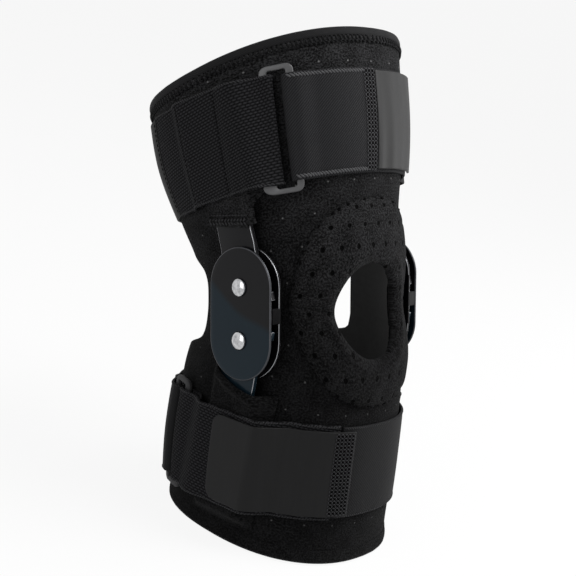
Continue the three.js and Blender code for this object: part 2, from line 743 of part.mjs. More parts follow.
// A rectangular ring with rounded corners, lying along the leg between the strap's two folds.
function ring(half, turn, strapHeight) {
  const middle = lengthAt(half, turn);
  const corners = [[1, 1, 0], [-1, 1, 90], [-1, -1, 180], [1, -1, 270]];
  const loop = (wide, tall, corner) => corners.flatMap(([x, y, from]) => {
    const arc = range(from, from + 90, 3).map((a) => [
      x * (wide - corner) + corner * Math.cos(rad(a)),
      y * (tall - corner) + corner * Math.sin(rad(a)),
    ]);
    const levels = (from === 90 ? [1, 0, -1] : [-1, 0, 1]).map((up) => [x * wide, (up * strapHeight) / 2]);
    return x === y ? arc : [...arc, ...levels];
  });
  const outer = loop(RING_WIDTH / 2, strapHeight / 2 + RING_OVERHANG, 4);
  const slot = loop(RING_WIDTH / 2 - RING_BAR, strapHeight / 2 + 2, 1.2);
  const low = ringOffset - RING_THICKNESS / 2;
  const place = ([x, y], up) => onStrap(half, toTurn(half, middle + x), y, low + up * RING_THICKNESS);
  const rings = outer.map((point, i) => [place(point, 0), place(point, 1), place(slot[i], 1), place(slot[i], 0)]);
  return turned(loft(rings, true), half);
}

// Thigh: an elastic from the back over the outer side to the ring, a webbing from the back
// over the inner side to the same ring, doubled back and ended by a hook tab.
const thighRingAt = lengthAt(1, THIGH_RING_TURN);
const elasticStart = lengthAt(1, THIGH_ELASTIC_TURN);
const thighSeam = lengthAt(1, THIGH_TAB_TURN);

// A layer of strap folded round the bar of its ring: way is the side of the bar it leaves on.
function looped(half, bar, way, end, target, height) {
  return strap(half, [
    ...along(bar + way * FOLD_LENGTH, bar + way * 2, lowLayer),
    ...fold(bar, -way),
    ...easeDown(bar + way, way, target),
    ...along(bar + way * (FOLD_LENGTH + 10), end, target),
  ], height, STRAP_THICKNESS);
}

function thighElastic() {
  return looped(1, thighRingAt + barCentre, 1, elasticStart, lowLayer, THIGH_STRAP_HEIGHT);
}

function thighRearTab() {
  const path = along(elasticStart + GAP, lengthAt(1, REAR_TAB_TURN), lowLayer);
  return strap(1, path, THIGH_TAB_HEIGHT + 3, STRAP_THICKNESS, TAB_CORNER);
}

function thighWebbing() {
  const bar = thighRingAt - barCentre;
  return strap(1, [
    ...along(lengthAt(1, -REAR_TAB_TURN), bar - 2, lowLayer),
    ...fold(bar, 1),
    ...easeDown(bar - 1, -1, highLayer),
    ...along(bar - 1 - FOLD_LENGTH - 4, thighSeam, highLayer),
  ], THIGH_STRAP_HEIGHT - 2, STRAP_THICKNESS);
}

function thighFrontTab() {
  const start = thighSeam - GAP;
  const path = along(start, start - TAB_LENGTH, highLayer + TAB_LIFT);
  return strap(1, path, THIGH_TAB_HEIGHT, TAB_THICKNESS, TAB_CORNER);
}

// Calf: an elastic sewn on in front runs back over the outer side to the ring; the webbing
// leaves the ring, goes round behind and over the inner side, and ends in a hook tab in front.
const calfRingAt = lengthAt(-1, CALF_RING_TURN);
const calfSeam = lengthAt(-1, CALF_SEAM_TURN);

function calfElastic() {
  return looped(-1, calfRingAt - barCentre, -1, calfSeam + 2, lowLayer, CALF_STRAP_HEIGHT);
}

function calfWebbing() {
  const round = 2 * Math.PI * strapRadius[-1];
  return looped(-1, calfRingAt + barCentre, 1, round + calfSeam, lowLayer, CALF_STRAP_HEIGHT - 2);
}

function calfFrontTab() {
  const start = calfSeam - 8;
  const path = along(start, lengthAt(-1, CALF_TAB_TURN), highLayer + TAB_LIFT);
  return strap(-1, path, CALF_TAB_HEIGHT, TAB_THICKNESS, TAB_CORNER);
}

// ---------------------------------------------------------------- assembly
const model = new THREE.Group();
model.name = 'hinged_knee_brace';

function add(name, geometry, material) {
  const mesh = new THREE.Mesh(toCreasedNormals(geometry, 0.6), material);
  mesh.name = name;
  model.add(mesh);
}

const sleeveBlack = 0x1a1a1a;
const strapBlack = 0x222222;
const thighLevels = [
  hemLevel(1),
  ...strapRows(1),
  tilted(THIGH_RIM_HEIGHT - BINDING_HEIGHT, THIGH_RIM_SLOPE),
  tilted(THIGH_RIM_HEIGHT, THIGH_RIM_SLOPE),
];
const calfLevels = [
  tilted(-CALF_RIM_HEIGHT, CALF_RIM_SLOPE),
  tilted(BINDING_HEIGHT - CALF_RIM_HEIGHT, CALF_RIM_SLOPE),
  ...strapRows(-1),
  hemLevel(-1),
];
add('thigh_sleeve', tube(thighLevels), cloth(sleeveBlack));
add('knee_sleeve', kneeSleeve(), cloth(sleeveBlack));
add('calf_sleeve', tube(calfLevels), cloth(sleeveBlack));
add('patella_pad', patellaPad(), cloth(0x1e1e1e));
add('thigh_binding', binding(THIGH_RIM_HEIGHT, THIGH_RIM_SLOPE, 1), cloth(0x161616));
add('calf_binding', binding(CALF_RIM_HEIGHT, CALF_RIM_SLOPE, -1), cloth(0x161616));

for (const [sideName, side] of [['lateral', -1], ['medial', 1]]) {
  add(`${sideName}_inner_plate`, innerPlate(side), metal(0x2a2d33, 0.3));
  add(`${sideName}_outer_plate`, outerPlate(side), metal(0x2a2d33, 0.25));
  for (const [halfName, half] of [['thigh', 1], ['calf', -1]]) {
    add(`${sideName}_${halfName}_arm`, arm(side, half), metal(0x3a3c40, 0.4));
    add(`${sideName}_${halfName}_pocket`, pocket(side, half), cloth(sleeveBlack));
    add(`${sideName}_${halfName}_rivet`, rivet(side, half), metal(0xdddddd, 0.12));
    add(`${sideName}_${halfName}_inner_washer`, washer(side, half, innerWasherAt), plastic(0xe6e2d8, 0.5));
    add(`${sideName}_${halfName}_outer_washer`, washer(side, half, outerWasherAt), plastic(0xe6e2d8, 0.5));
  }
}

add('thigh_elastic', thighElastic(), cloth(strapBlack));
add('thigh_rear_tab', thighRearTab(), cloth(0x2c2c2c));
add('thigh_ring', ring(1, THIGH_RING_TURN, THIGH_STRAP_HEIGHT), plastic(0x4a4a4a, 0.45));
add('thigh_webbing', thighWebbing(), cloth(strapBlack));
add('thigh_front_tab', thighFrontTab(), cloth(0x2c2c2c));
add('calf_elastic', calfElastic(), cloth(strapBlack));
add('calf_ring', ring(-1, CALF_RING_TURN, CALF_STRAP_HEIGHT), plastic(0x4a4a4a, 0.45));
add('calf_webbing', calfWebbing(), cloth(strapBlack));
add('calf_front_tab', calfFrontTab(), cloth(0x262626));

// The brace stands on its calf rim, the middle of its outline over the origin.
const rimLean = rad(REST_BEND) + Math.atan2(-CALF_RIM_SLOPE, legSection(-CALF_RIM_HEIGHT).halfDepth);
const standing = new THREE.Matrix4().makeRotationX(-rimLean);
for (const mesh of model.children) mesh.geometry.applyMatrix4(standing);
const bounds = new THREE.Box3().setFromObject(model);
const centre = bounds.getCenter(new THREE.Vector3());
for (const mesh of model.children) mesh.geometry.translate(-centre.x, -centre.y, -bounds.min.z);

export default model;
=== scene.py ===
"""Hinged knee brace: the cloth, straps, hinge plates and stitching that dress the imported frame.

Cloth is cut flat, in millimetres, with its seams and stitches on it, and then wrapped round the leg.
"""
import json
import math

import bpy
import numpy as np
from mathutils import Matrix, Vector, noise


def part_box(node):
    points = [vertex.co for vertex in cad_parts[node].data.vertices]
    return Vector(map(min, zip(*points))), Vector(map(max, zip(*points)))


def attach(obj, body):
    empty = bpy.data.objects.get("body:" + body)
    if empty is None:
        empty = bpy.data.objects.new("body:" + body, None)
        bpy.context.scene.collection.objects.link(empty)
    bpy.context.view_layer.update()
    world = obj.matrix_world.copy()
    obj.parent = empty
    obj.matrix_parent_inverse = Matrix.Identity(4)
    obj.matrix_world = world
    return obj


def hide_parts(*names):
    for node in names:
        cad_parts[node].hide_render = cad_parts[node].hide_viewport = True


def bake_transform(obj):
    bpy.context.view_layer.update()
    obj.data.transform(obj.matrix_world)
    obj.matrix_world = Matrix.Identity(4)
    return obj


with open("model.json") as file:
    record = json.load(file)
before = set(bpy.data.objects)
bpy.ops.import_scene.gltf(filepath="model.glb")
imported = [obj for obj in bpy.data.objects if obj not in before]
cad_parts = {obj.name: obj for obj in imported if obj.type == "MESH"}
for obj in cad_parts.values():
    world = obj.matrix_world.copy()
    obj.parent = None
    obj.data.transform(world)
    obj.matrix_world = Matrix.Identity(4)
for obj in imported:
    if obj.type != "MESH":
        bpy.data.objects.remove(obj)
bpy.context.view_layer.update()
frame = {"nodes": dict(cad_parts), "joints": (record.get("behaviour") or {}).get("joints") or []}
joints = {joint["name"]: joint for joint in frame["joints"]}

# ---------------------------------- sizes, in millimetres and degrees
MM = 0.001
THIGH, CALF = 1, -1
HALVES = {"thigh": THIGH, "calf": CALF}
SIDES = {"lateral": -1, "medial": 1}

# The leg on the outside of the sleeve: height, half width, half depth, middle from the pivots' line
LEG = np.array([
    (-139, 63, 68, 6.5),
    (-88, 64, 69.5, 11),
    (-38.9, 62, 65.5, 12.5),
    (0, 62, 52, 12),
    (38.9, 62, 60, 12),
    (97.5, 71, 74, 12.8),
    (144, 73.4, 76.4, 10),
])
SQUARENESS = 2.3  # of the leg's section: 2 is an ellipse
KNEE_HALF_DEPTH = 52

# The sleeve; heights are from the hinge's middle, and turns run from the front over the outer side
RIM_HEIGHT = {THIGH: 144, CALF: -139}
RIM_SLOPE = {THIGH: 10.7, CALF: -3}
SLEEVE_THICKNESS = 3.5
SEAM_HEIGHT = {THIGH: 58, CALF: 48}
SEAM_NOTCH = {THIGH: 4, CALF: 9}
WING_TURN = (124, 96)  # where the knee cloth ends beside the window behind: outer side, inner side
WING_SEAM_TURN = 158

# The opening for the kneecap and the pad round it: half width and half height
PATELLA_TURN = 2
PATELLA = (21, 24)
PAD = (48, 52)
PAD_LIFT = 5.5
PAD_ROUND = 36  # lengths round the pad are measured on a circle of this radius
HOLE_PITCH, HOLE_ROW = 11.5, 10.4

# The hinge and its arms
PLATE_RADIUS = 23.4
PLATE_CROWN = 0.4
STOP_BLOCK = 5
ARM_AT = 65.8  # from the middle of the leg to an arm's inner face at the hinge
ARM_THICKNESS = 3
ARM_WIDTH = 26
ARM_HEIGHT = {THIGH: 120, CALF: 118}
FLARE_START = 39.9  # where an arm bends outwards
FLARE_FIRST, FLARE_PLACES = 16, 13  # it clears the sleeve from here on past that, checked at so many places
REST_BEND = 12
BEND_START, BEND_END = 5, 41.9  # from the hinge's middle, of the bend in which the brace stands
BLEND_START, BLEND_END = 5, 42  # and of the stretch of cloth over the joint

# The pockets that hold the arms
POCKET_WIDTH = 46
POCKET_START = {THIGH: 54, CALF: 45}
POCKET_END = {THIGH: 132, CALF: 128}
POCKET_THICKNESS = 1.05
MOUTH_HALF_WIDTH = 17
ARM_COVER, ARM_MARGIN = 1.9, 1.8  # the pocket past the arm, outwards and sideways
STRAP_SPREAD, SPREAD_EDGE = 4, 2.5

# The straps and their rings
STRAP_LEVEL = {THIGH: 97.5, CALF: -88}
STRAP_SLOPE = {THIGH: 3.7, CALF: 3}
STRAP_RADIUS = {THIGH: 72.5, CALF: 66.75}
STRAP_HEIGHT = {THIGH: 62, CALF: 58}
TAB_HEIGHT = {THIGH: 57, CALF: 52}
STRAP_THICKNESS = 1.4
TAB_THICKNESS = 1.5
TAB_LENGTH = 56
TAB_CORNER = 7
STRAP_SEAM_TURN = {THIGH: 2, CALF: 22.5}
ELASTIC_END_TURN = 119
REAR_TAB_TURN = 165
CALF_TAB_TURN = 88
GROOVE_TURNS = {THIGH: (65, 96), CALF: (101,)}
RING_TURN = {THIGH: 51, CALF: 117}
RING_WIDTH = 20
RING_BAR = 4.6
CLOTH_GAP = 0.45  # between layers
BUTT_GAP = 0.35  # between cloths that meet end to end
FOLD_LENGTH = 15
FOLD_RADIUS = 2.7
FOLD_FLAT = 2

# A strap's lower and upper layer and a ring's bar, by their distance out from the leg
LOW = CLOTH_GAP + STRAP_THICKNESS / 2
HIGH = LOW + STRAP_THICKNESS + CLOTH_GAP
RING_OUT = LOW + FOLD_RADIUS
BAR = (RING_WIDTH - RING_BAR) / 2  # from the ring's middle to the middle of a bar


def smooth(value, low, high):
    """0 up to low, 1 from high on, and a soft slope between them."""
    t = np.clip((np.asarray(value, float) - low) / (high - low), 0, 1)
    return t * t * (3 - 2 * t)


def lengths_along(points):
    """The length of a path from its first point to each."""
    steps = np.linalg.norm(np.diff(points, axis=0), axis=1)
    return np.concatenate([[0], np.cumsum(steps)])


# ---------------------------------- the leg
def leg_section(height):
    """Half width, half depth and middle of the leg at each height, on the frame's own curve."""
    t, values = LEG[:, 0], LEG[:, 1:]
    h = np.clip(np.asarray(height, float), t[0], t[-1])
    i = np.clip(np.searchsorted(t, h, side="right") - 1, 0, len(t) - 2)
    first, last = i == 0, i == len(t) - 2
    before = np.where(first, i + 1, i - 1)
    after = np.where(last, i, np.minimum(i + 2, len(t) - 1))
    half = (t[i + 1] - t[i]) / 2
    pull = half / (t[i] - t[before])
    push = half / (t[after] - t[i + 1])
    p = (h - t[i]) / (t[i + 1] - t[i])
    weights = (
        (-pull * p**3 + 2 * pull * p**2 - pull * p, before),
        ((1 + pull) * p**3 + (-1.5 - 2 * pull) * p**2 + (-0.5 + pull) * p + 1, i),
        ((-1 - push) * p**3 + (1.5 + push) * p**2 + 0.5 * p, i + 1),
        (push * p**3 - push * p**2, after),
    )
    return sum(w[..., None] * values[k] for w, k in weights).T


def forward(turn):
    """How far forward a turn lies: 1 in front, -1 behind."""
    k = np.cos(np.radians(turn))
    return np.sign(k) * np.abs(k) ** (2 / SQUARENESS)


def on_leg(turn, height, offset):
    """Points on the straight leg."""
    turn, height, offset = np.broadcast_arrays(*(np.asarray(v, float) for v in (turn, height, offset)))
    half_width, half_depth, centre = leg_section(height)
    s = np.sin(np.radians(turn))
    x = -(half_width + offset) * np.sign(s) * np.abs(s) ** (2 / SQUARENESS)
    y = centre - (half_depth + offset) * forward(turn)
    return np.stack([x, y, height], -1)


def side_out(y, height):
    """How far out the sleeve's side is."""
    half_width, half_depth, centre = leg_section(height)
    across = np.minimum(np.abs(y - centre) / half_depth, 1)
    return half_width * (1 - across**SQUARENESS) ** (1 / SQUARENESS)


upper_pivot = Vector(joints["knee_flexion_upper"]["pos_m"])
lower_pivot = Vector(joints["knee_flexion_lower"]["pos_m"])
hinge_middle = (upper_pivot + lower_pivot) / 2
hinge_up = (upper_pivot - lower_pivot).normalized()
hinge_back = Vector((0, hinge_up.z, -hinge_up.y))
PIVOT = (upper_pivot - lower_pivot).length / MM / 2


def stand(points):
    """Bends the straight leg at the knee and stands it in the frame, in metres."""
    x, y, z = np.moveaxis(points, -1, 0)
    side = np.where(z < 0, -1, 1)
    angle = np.radians(-side * REST_BEND * smooth(np.abs(z), BEND_START, BEND_END))
    pivot = side * PIVOT
    back = y * np.cos(angle) - (z - pivot) * np.sin(angle)
    up = pivot + y * np.sin(angle) + (z - pivot) * np.cos(angle)
    axes = np.array([(1, 0, 0), hinge_back, hinge_up])
    return np.array(hinge_middle) + np.stack([x, back, up], -1) @ axes * MM


# Lengths round the sleeve are measured at the knee, so that its two halves share one pattern.
turns = np.linspace(-400, 400, 3201)
knee_lengths = lengths_along(on_leg(turns, 0, 0)[:, :2])
knee_lengths -= np.interp(0, turns, knee_lengths)


def round_leg(turn):
    """Length round the sleeve, from the front."""
    return np.interp(turn, turns, knee_lengths)


# ---------------------------------- pockets and what rides over them
def arm_flare(half):
    """How fast an arm leans out past its bend, so that it clears the sleeve all the way."""
    heights = np.linspace(FLARE_START + FLARE_FIRST, ARM_HEIGHT[half], FLARE_PLACES)
    slopes = (leg_section(half * heights)[0] + CLOTH_GAP - ARM_AT) / (heights - FLARE_START)
    return max(0, slopes.max())


FLARE = {half: arm_flare(half) for half in (THIGH, CALF)}
HEM = CLOTH_GAP + 1.1  # the outside of a pocket's edge over the sleeve


def pocket_out(half, y, height, spread=0.0):
    """How far the pocket stands out; spread widens its bump for a strap that lies over it."""
    skin = side_out(y, height)
    arm = ARM_AT + ARM_THICKNESS + FLARE[half] * np.maximum(np.abs(height) - FLARE_START, 0)
    flat = arm + ARM_COVER
    edge = POCKET_WIDTH / 2
    across = 1 - smooth(np.abs(y), ARM_WIDTH / 2 + ARM_MARGIN + spread, edge - 1 + SPREAD_EDGE * spread)
    along = 1 if spread else 1 - smooth(np.abs(height), ARM_HEIGHT[half] + 2, POCKET_END[half])
    border = 1 - smooth(np.abs(y), edge + 0.5, edge + SPREAD_EDGE * spread) if spread else 1
    return skin + HEM * border + np.maximum(flat - skin - HEM, 0) * across * along


def over_leg(half, turn, height, offset):
    """A strap's points: they follow the leg and ride over the pockets."""
    points = on_leg(turn, height, offset)
    y = on_leg(turn, height, 0)[..., 1]
    cover = pocket_out(half, y, height, STRAP_SPREAD) - side_out(y, height)
    cover = np.where(np.abs(y) > POCKET_WIDTH / 2 + SPREAD_EDGE * STRAP_SPREAD, 0, cover)
    points[..., 0] += np.sign(points[..., 0]) * cover
    return points


# ---------------------------------- modelling
def only(*objects):
    """Selects these alone; the last is active."""
    bpy.ops.object.select_all(action="DESELECT")
    for obj in objects:
        obj.select_set(True)
    bpy.context.view_layer.objects.active = objects[-1]


def modified(obj, kind, **settings):
    """Adds a modifier and applies it."""
    modifier = obj.modifiers.new(kind.title(), kind)
    for key, value in settings.items():
        setattr(modifier, key, value)
    only(obj)
    bpy.ops.object.modifier_apply(modifier=modifier.name)
    return obj


def bevelled(obj, width, angle, segments=2, **settings):
    """Rounds the edges that are sharper than the angle."""
    return modified(obj, "BEVEL", width=width, segments=segments, limit_method="ANGLE",
                    angle_limit=math.radians(angle), **settings)


def edited(obj, *steps):
    """Runs edit-mode steps on the whole mesh."""
    only(obj)
    bpy.ops.object.mode_set(mode="EDIT")
    bpy.ops.mesh.select_all(action="SELECT")
    for step in steps:
        step()
    bpy.ops.object.mode_set(mode="OBJECT")
    return obj


def welded(obj, distance):
    """Merges doubles and turns the faces the same way."""
    return edited(obj, lambda: bpy.ops.mesh.remove_doubles(threshold=distance),
                  lambda: bpy.ops.mesh.normals_make_consistent(inside=False))


def take_faces(obj, chosen):
    """Deletes the faces whose middle is chosen."""
    edited(obj, lambda: bpy.ops.mesh.select_mode(type="FACE"),
           lambda: bpy.ops.mesh.select_all(action="DESELECT"))
    for polygon in obj.data.polygons:
        polygon.select = bool(chosen(polygon.center))
    bpy.ops.object.mode_set(mode="EDIT")
    bpy.ops.mesh.delete(type="FACE")
    bpy.ops.object.mode_set(mode="OBJECT")


def points_of(obj):
    co = np.empty(len(obj.data.vertices) * 3, np.float32)
    obj.data.vertices.foreach_get("co", co)
    return co.reshape(-1, 3).astype(float)


def move_points(obj, points):
    obj.data.vertices.foreach_set("co", np.asarray(points, np.float32).ravel())
    obj.data.update()
    return obj


def laid(obj, place, mirrored):
    """Moves a flat piece to its place; a mirrored place turns its faces round."""
    move_points(obj, place(*points_of(obj).T))
    if mirrored:
        edited(obj, bpy.ops.mesh.flip_normals)
    return obj


def flat_panel(name, x_from, x_to, y_from, y_to, columns, rows):
    """A flat grid of cloth."""
    bpy.ops.mesh.primitive_grid_add(x_subdivisions=columns, y_subdivisions=rows, size=1)
    panel = bpy.context.object
    panel.name = panel.data.name = name
    panel.scale = (x_to - x_from, y_to - y_from, 1)
    panel.location = ((x_from + x_to) / 2, (y_from + y_to) / 2, 0)
    bpy.ops.object.transform_apply(location=True, rotation=False, scale=True)
    return panel


def lay_uv(obj, places=None):
    """The piece's own map: millimetres on the flat cloth."""
    places = points_of(obj)[:, :2] if places is None else places
    layer = obj.data.uv_layers.get("UVMap") or obj.data.uv_layers.new(name="UVMap")
    loops = np.empty(len(obj.data.loops), np.int32)
    obj.data.loops.foreach_get("vertex_index", loops)
    layer.data.foreach_set("uv", np.asarray(places, np.float32)[loops].ravel())


def smooth_shade(obj, angle):
    """Shades edges flatter than the angle as one surface."""
    only(obj)
    bpy.ops.object.shade_smooth_by_angle(angle=math.radians(angle))
    return obj


def paint(obj, *materials):
    """Gives the piece its finishes; every face takes the first one."""
    obj.data.materials.clear()
    for material in materials:
        obj.data.materials.append(material)
    return obj


def joined(*pieces):
    """One piece of the last one's name."""
    only(*pieces)
    bpy.ops.object.join()
    return bpy.context.object


def stitches(start, end, pitch, long, wide, slant, lift, material):
    """A row of like stitches: one thread is modelled, and the rest are an array of it."""
    start, end = Vector(start), Vector(end)
    count = max(1, round((end - start).length / pitch))
    step = (end - start) / count
    bpy.ops.mesh.primitive_uv_sphere_add(segments=6, ring_count=4, radius=0.5)
    thread = bpy.context.object
    thread.name = thread.data.name = "thread"
    thread.scale = (long, wide, wide * 0.9)
    thread.rotation_euler = (0, 0, math.atan2(step.y, step.x) + math.radians(slant))
    thread.location = (start.x + step.x / 2, start.y + step.y / 2, lift)
    bpy.ops.object.transform_apply(location=True, rotation=True, scale=True)
    modified(thread, "ARRAY", count=count, use_relative_offset=False, use_constant_offset=True,
             constant_offset_displace=(step.x, step.y, 0))
    paint(thread, material)
    return smooth_shade(thread, 180)


def ripple(x, y, size, height, seed):
    """Soft unevenness of hand-sewn cloth, the same at each run."""
    at = Vector((seed * 17.3, seed * 5.1, seed * 2.7))
    return height * np.array([noise.noise(Vector((a, b, 0)) / size + at) for a, b in zip(x, y)])


def ride(obj, body, slot, *nodes):
    """The piece stands for these nodes and moves with the body."""
    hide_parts(*nodes)
    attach(obj, body)


def bend_with_knee(obj, half, slot, *nodes):
    """Cloth over the knee: the piece stands for these nodes, and its placing is baked into its points."""
    if nodes:
        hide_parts(*nodes)
    start = Vector(stand(np.array([0.0, 0.0, half * BLEND_START])))
    end = Vector(stand(np.array([0.0, 0.0, half * BLEND_END])))
    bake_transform(obj)


# ---------------------------------- materials
# Patterns on cloth are in its own millimetres, and a noise's scale there is its lumps per millimetre.
TUFT_SCALE, PATCH_SCALE = 0.9, 0.1
# Painted light from above on the pile: the height, and how bright the pile is painted there
TOP_LIGHT_LOW, TOP_LIGHT_HIGH = (130 * MM, 0.65), (290 * MM, 2.15)  # height, and how bright the pile is there
# heights where the painted blue reflection starts and where it is full
REFLECTION_STARTS, REFLECTION_FULL = 166.8 * MM, 162 * MM  # heights on the outer plates


def linear(hex_colour):
    """The linear colour of an sRGB hex value."""
    channels = [int(hex_colour[i:i + 2], 16) / 255 for i in (1, 3, 5)]
    return tuple(c / 12.92 if c <= 0.04045 else ((c + 0.055) / 1.055) ** 2.4 for c in channels) + (1.0,)


def add(tree, kind, inputs=(), **settings):
    """Adds a node and gives its first output; its inputs, by name or in order, are values or sockets."""
    node = tree.nodes.new("ShaderNode" + kind)
    for key, value in settings.items():
        setattr(node, key, value)
    for key, value in inputs.items() if isinstance(inputs, dict) else enumerate(inputs):
        if isinstance(value, bpy.types.NodeSocket):
            tree.links.new(value, node.inputs[key])
        else:
            node.inputs[key].default_value = value
    return next((socket for socket in node.outputs if socket.enabled), None)


def new_material(name, roughness, metallic=0.0, **constants):
    """A material with what is the same all over it set on the shader itself."""
    material = bpy.data.materials.new(name)
    material.use_nodes = True
    shader = material.node_tree.nodes["Principled BSDF"]
    shader.inputs["Roughness"].default_value = roughness
    shader.inputs["Metallic"].default_value = metallic
    for key, value in constants.items():
        shader.inputs[key.replace("_", " ")].default_value = value
    return material, material.node_tree, shader


def surface(tree, shader, colour, height, depth):
    """Gives the shader its colour, and raises the surface by a depth in millimetres."""
    bump = add(tree, "Bump", {"Strength": 1.0, "Distance": depth * MM, "Height": height})
    tree.links.new(colour, shader.inputs["Base Color"])
    tree.links.new(bump, shader.inputs["Normal"])


def on_cloth(tree):
    """Millimetres on the flat cloth: the place, and its parts along and across."""
    place = add(tree, "UVMap", uv_map="UVMap")
    along, across, _ = add(tree, "SeparateXYZ", [place]).node.outputs
    return place, along, across


def staggered(tree, x, row, pitch):
    """How far x is into its repeat, there and back, where every other row is half a repeat on."""
    odd = add(tree, "Math", [row, 2.0], operation="MODULO")
    shift = add(tree, "Math", [odd, pitch / 2], operation="MULTIPLY")
    shifted = add(tree, "Math", [x, shift], operation="ADD")
    return add(tree, "Math", [shifted, pitch / 2], operation="PINGPONG")


def plush_knit(name, dark, light, pitch, row, radius, hole_tone):
    """Looped nylon pile on neoprene: a matte black with small tufts, punched with air holes.

    The tufts are drawn about 1 mm wide, coarser than the real loops, so that they show. Light from
    above is painted into the pile: paler towards the thigh and darker below the knee.
    """
    material, tree, shader = new_material(name, 0.95, Sheen_Weight=0.02, Sheen_Roughness=0.5,
                                          Specular_IOR_Level=0.03)
    place, x, y = on_cloth(tree)
    tufts = add(tree, "TexNoise", {"Vector": place, "Scale": TUFT_SCALE, "Detail": 3.0, "Roughness": 0.75})
    patches = add(tree, "TexNoise", {"Vector": place, "Scale": PATCH_SCALE, "Detail": 2.0})
    patches = add(tree, "Math", [patches, 0.15], operation="MULTIPLY")
    mixed = add(tree, "Math", [tufts, 0.75, patches], operation="MULTIPLY_ADD")
    speckle = add(tree, "MapRange", {"Value": mixed, "From Min": 0.39, "From Max": 0.54})

    rows = add(tree, "Math", [y, row], operation="DIVIDE")
    from_x = staggered(tree, x, add(tree, "Math", [rows], operation="ROUND"), pitch)
    from_y = add(tree, "Math", [y, row / 2], operation="PINGPONG")
    away = add(tree, "VectorMath", [add(tree, "CombineXYZ", [from_x, from_y])], operation="LENGTH")
    away = away.node.outputs["Value"]
    hole = add(tree, "MapRange", {"Value": away, "From Min": radius + 0.25, "From Max": radius - 0.25})
    pile = add(tree, "Mix", {0: speckle, 6: linear(dark), 7: linear(light)}, data_type="RGBA")
    cloth = add(tree, "Mix", {0: hole, 6: pile, 7: linear(hole_tone)}, data_type="RGBA")

    # painted light from above: the pile is painted brighter higher up the leg
    height = add(tree, "SeparateXYZ", [add(tree, "TexCoord").node.outputs["Object"]]).node.outputs["Z"]
    painted_top_light = add(tree, "MapRange", {"Value": height, "From Min": TOP_LIGHT_LOW[0], "From Max": TOP_LIGHT_HIGH[0],
                                 "To Min": TOP_LIGHT_LOW[1], "To Max": TOP_LIGHT_HIGH[1]})
    lit_pile = add(tree, "HueSaturation", {"Value": painted_top_light, "Color": cloth})
    lumps = add(tree, "Math", [hole, -1.5, tufts], operation="MULTIPLY_ADD")
    surface(tree, shader, lit_pile, lumps, 0.7)
    return material


def woven(name, dark, light, long, tall, slant, depth):
    """Woven polyester strap: short threads in rows, each row half a thread on from the last.

    The threads are drawn about twice as coarse as the real ones, so that they show.
    """
    material, tree, shader = new_material(name, 0.85, Specular_IOR_Level=0.05)
    place, x, y = on_cloth(tree)
    leaning = add(tree, "Math", [x, slant, y], operation="MULTIPLY_ADD")
    rows = add(tree, "Math", [leaning, tall], operation="DIVIDE")
    in_thread = staggered(tree, x, add(tree, "Math", [rows], operation="FLOOR"), long)
    thread = add(tree, "Math", [in_thread, 2 / long], operation="MULTIPLY")
    thread = add(tree, "Math", [thread, 0.55], operation="POWER")
    in_row = add(tree, "Math", [rows, 0.5], operation="PINGPONG")
    crown = add(tree, "Math", [in_row, 2.0], operation="MULTIPLY")
    crown = add(tree, "Math", [crown, 0.8], operation="POWER")
    lump = add(tree, "Math", [thread, crown], operation="MULTIPLY")
    grit = add(tree, "TexNoise", {"Vector": place, "Scale": 1.2, "Detail": 2.0})
    tone = add(tree, "Math", [lump, 1.15, -0.25], operation="MULTIPLY_ADD")
    tone = add(tree, "Math", [grit, 0.5, tone], operation="MULTIPLY_ADD", use_clamp=True)
    colour = add(tree, "Mix", {0: tone, 6: linear(dark), 7: linear(light)}, data_type="RGBA")
    surface(tree, shader, colour, lump, depth)
    return material


def twill(name, dark, light, pitch, depth):
    """Fine polyester webbing: even diagonal lines, drawn wider than the real ones so that they show."""
    material, tree, shader = new_material(name, 0.75, Specular_IOR_Level=0.1)
    place, x, y = on_cloth(tree)
    diagonal = add(tree, "Math", [x, y], operation="SUBTRACT")
    ridge = add(tree, "Math", [diagonal, pitch / 2], operation="PINGPONG")
    ridge = add(tree, "Math", [ridge, 2 / pitch], operation="MULTIPLY")
    grit = add(tree, "TexNoise", {"Vector": place, "Scale": 1.5, "Detail": 2.0})
    tone = add(tree, "Math", [ridge, 0.9, -0.25], operation="MULTIPLY_ADD")
    tone = add(tree, "Math", [grit, 0.6, tone], operation="MULTIPLY_ADD", use_clamp=True)
    colour = add(tree, "Mix", {0: tone, 6: linear(dark), 7: linear(light)}, data_type="RGBA")
    surface(tree, shader, colour, ridge, depth)
    return material


def hook_tape(name, dark, light, gloss):
    """The calendered nylon back of hook tape: smooth and satin, with faint lines across."""
    material, tree, shader = new_material(name, 0.5, Specular_IOR_Level=gloss)
    place, _, _ = on_cloth(tree)
    stretched = add(tree, "Mapping", {"Vector": place, "Scale": (0.55, 0.03, 1.0)})
    streak = add(tree, "TexNoise", {"Vector": stretched, "Scale": 1.0, "Detail": 3.0})
    colour = add(tree, "Mix", {0: streak, 6: linear(dark), 7: linear(light)}, data_type="RGBA")
    grain = add(tree, "TexNoise", {"Vector": place, "Scale": 1.6, "Detail": 3.0})
    surface(tree, shader, colour, grain, 0.06)
    return material


def hard_finish(name, dark, light, roughness, metallic, grain, depth, **constants):
    """A moulded, lacquered or plated surface: grain is the size of its mottling in millimetres."""
    material, tree, shader = new_material(name, roughness, metallic, **constants)
    place = add(tree, "TexCoord").node.outputs["Object"]
    mottle = add(tree, "TexNoise", {"Vector": place, "Scale": 1 / (grain * MM), "Detail": 3.0})
    colour = add(tree, "Mix", {0: mottle, 6: linear(dark), 7: linear(light)}, data_type="RGBA")
    surface(tree, shader, colour, mottle, depth)
    return material


def spun_thread(name, dark, light, roughness, gloss):
    """Sewing thread: its tone varies a little from stitch to stitch."""
    return hard_finish(name, dark, light, roughness, 0.0, 0.8, 0.05, Specular_IOR_Level=gloss)


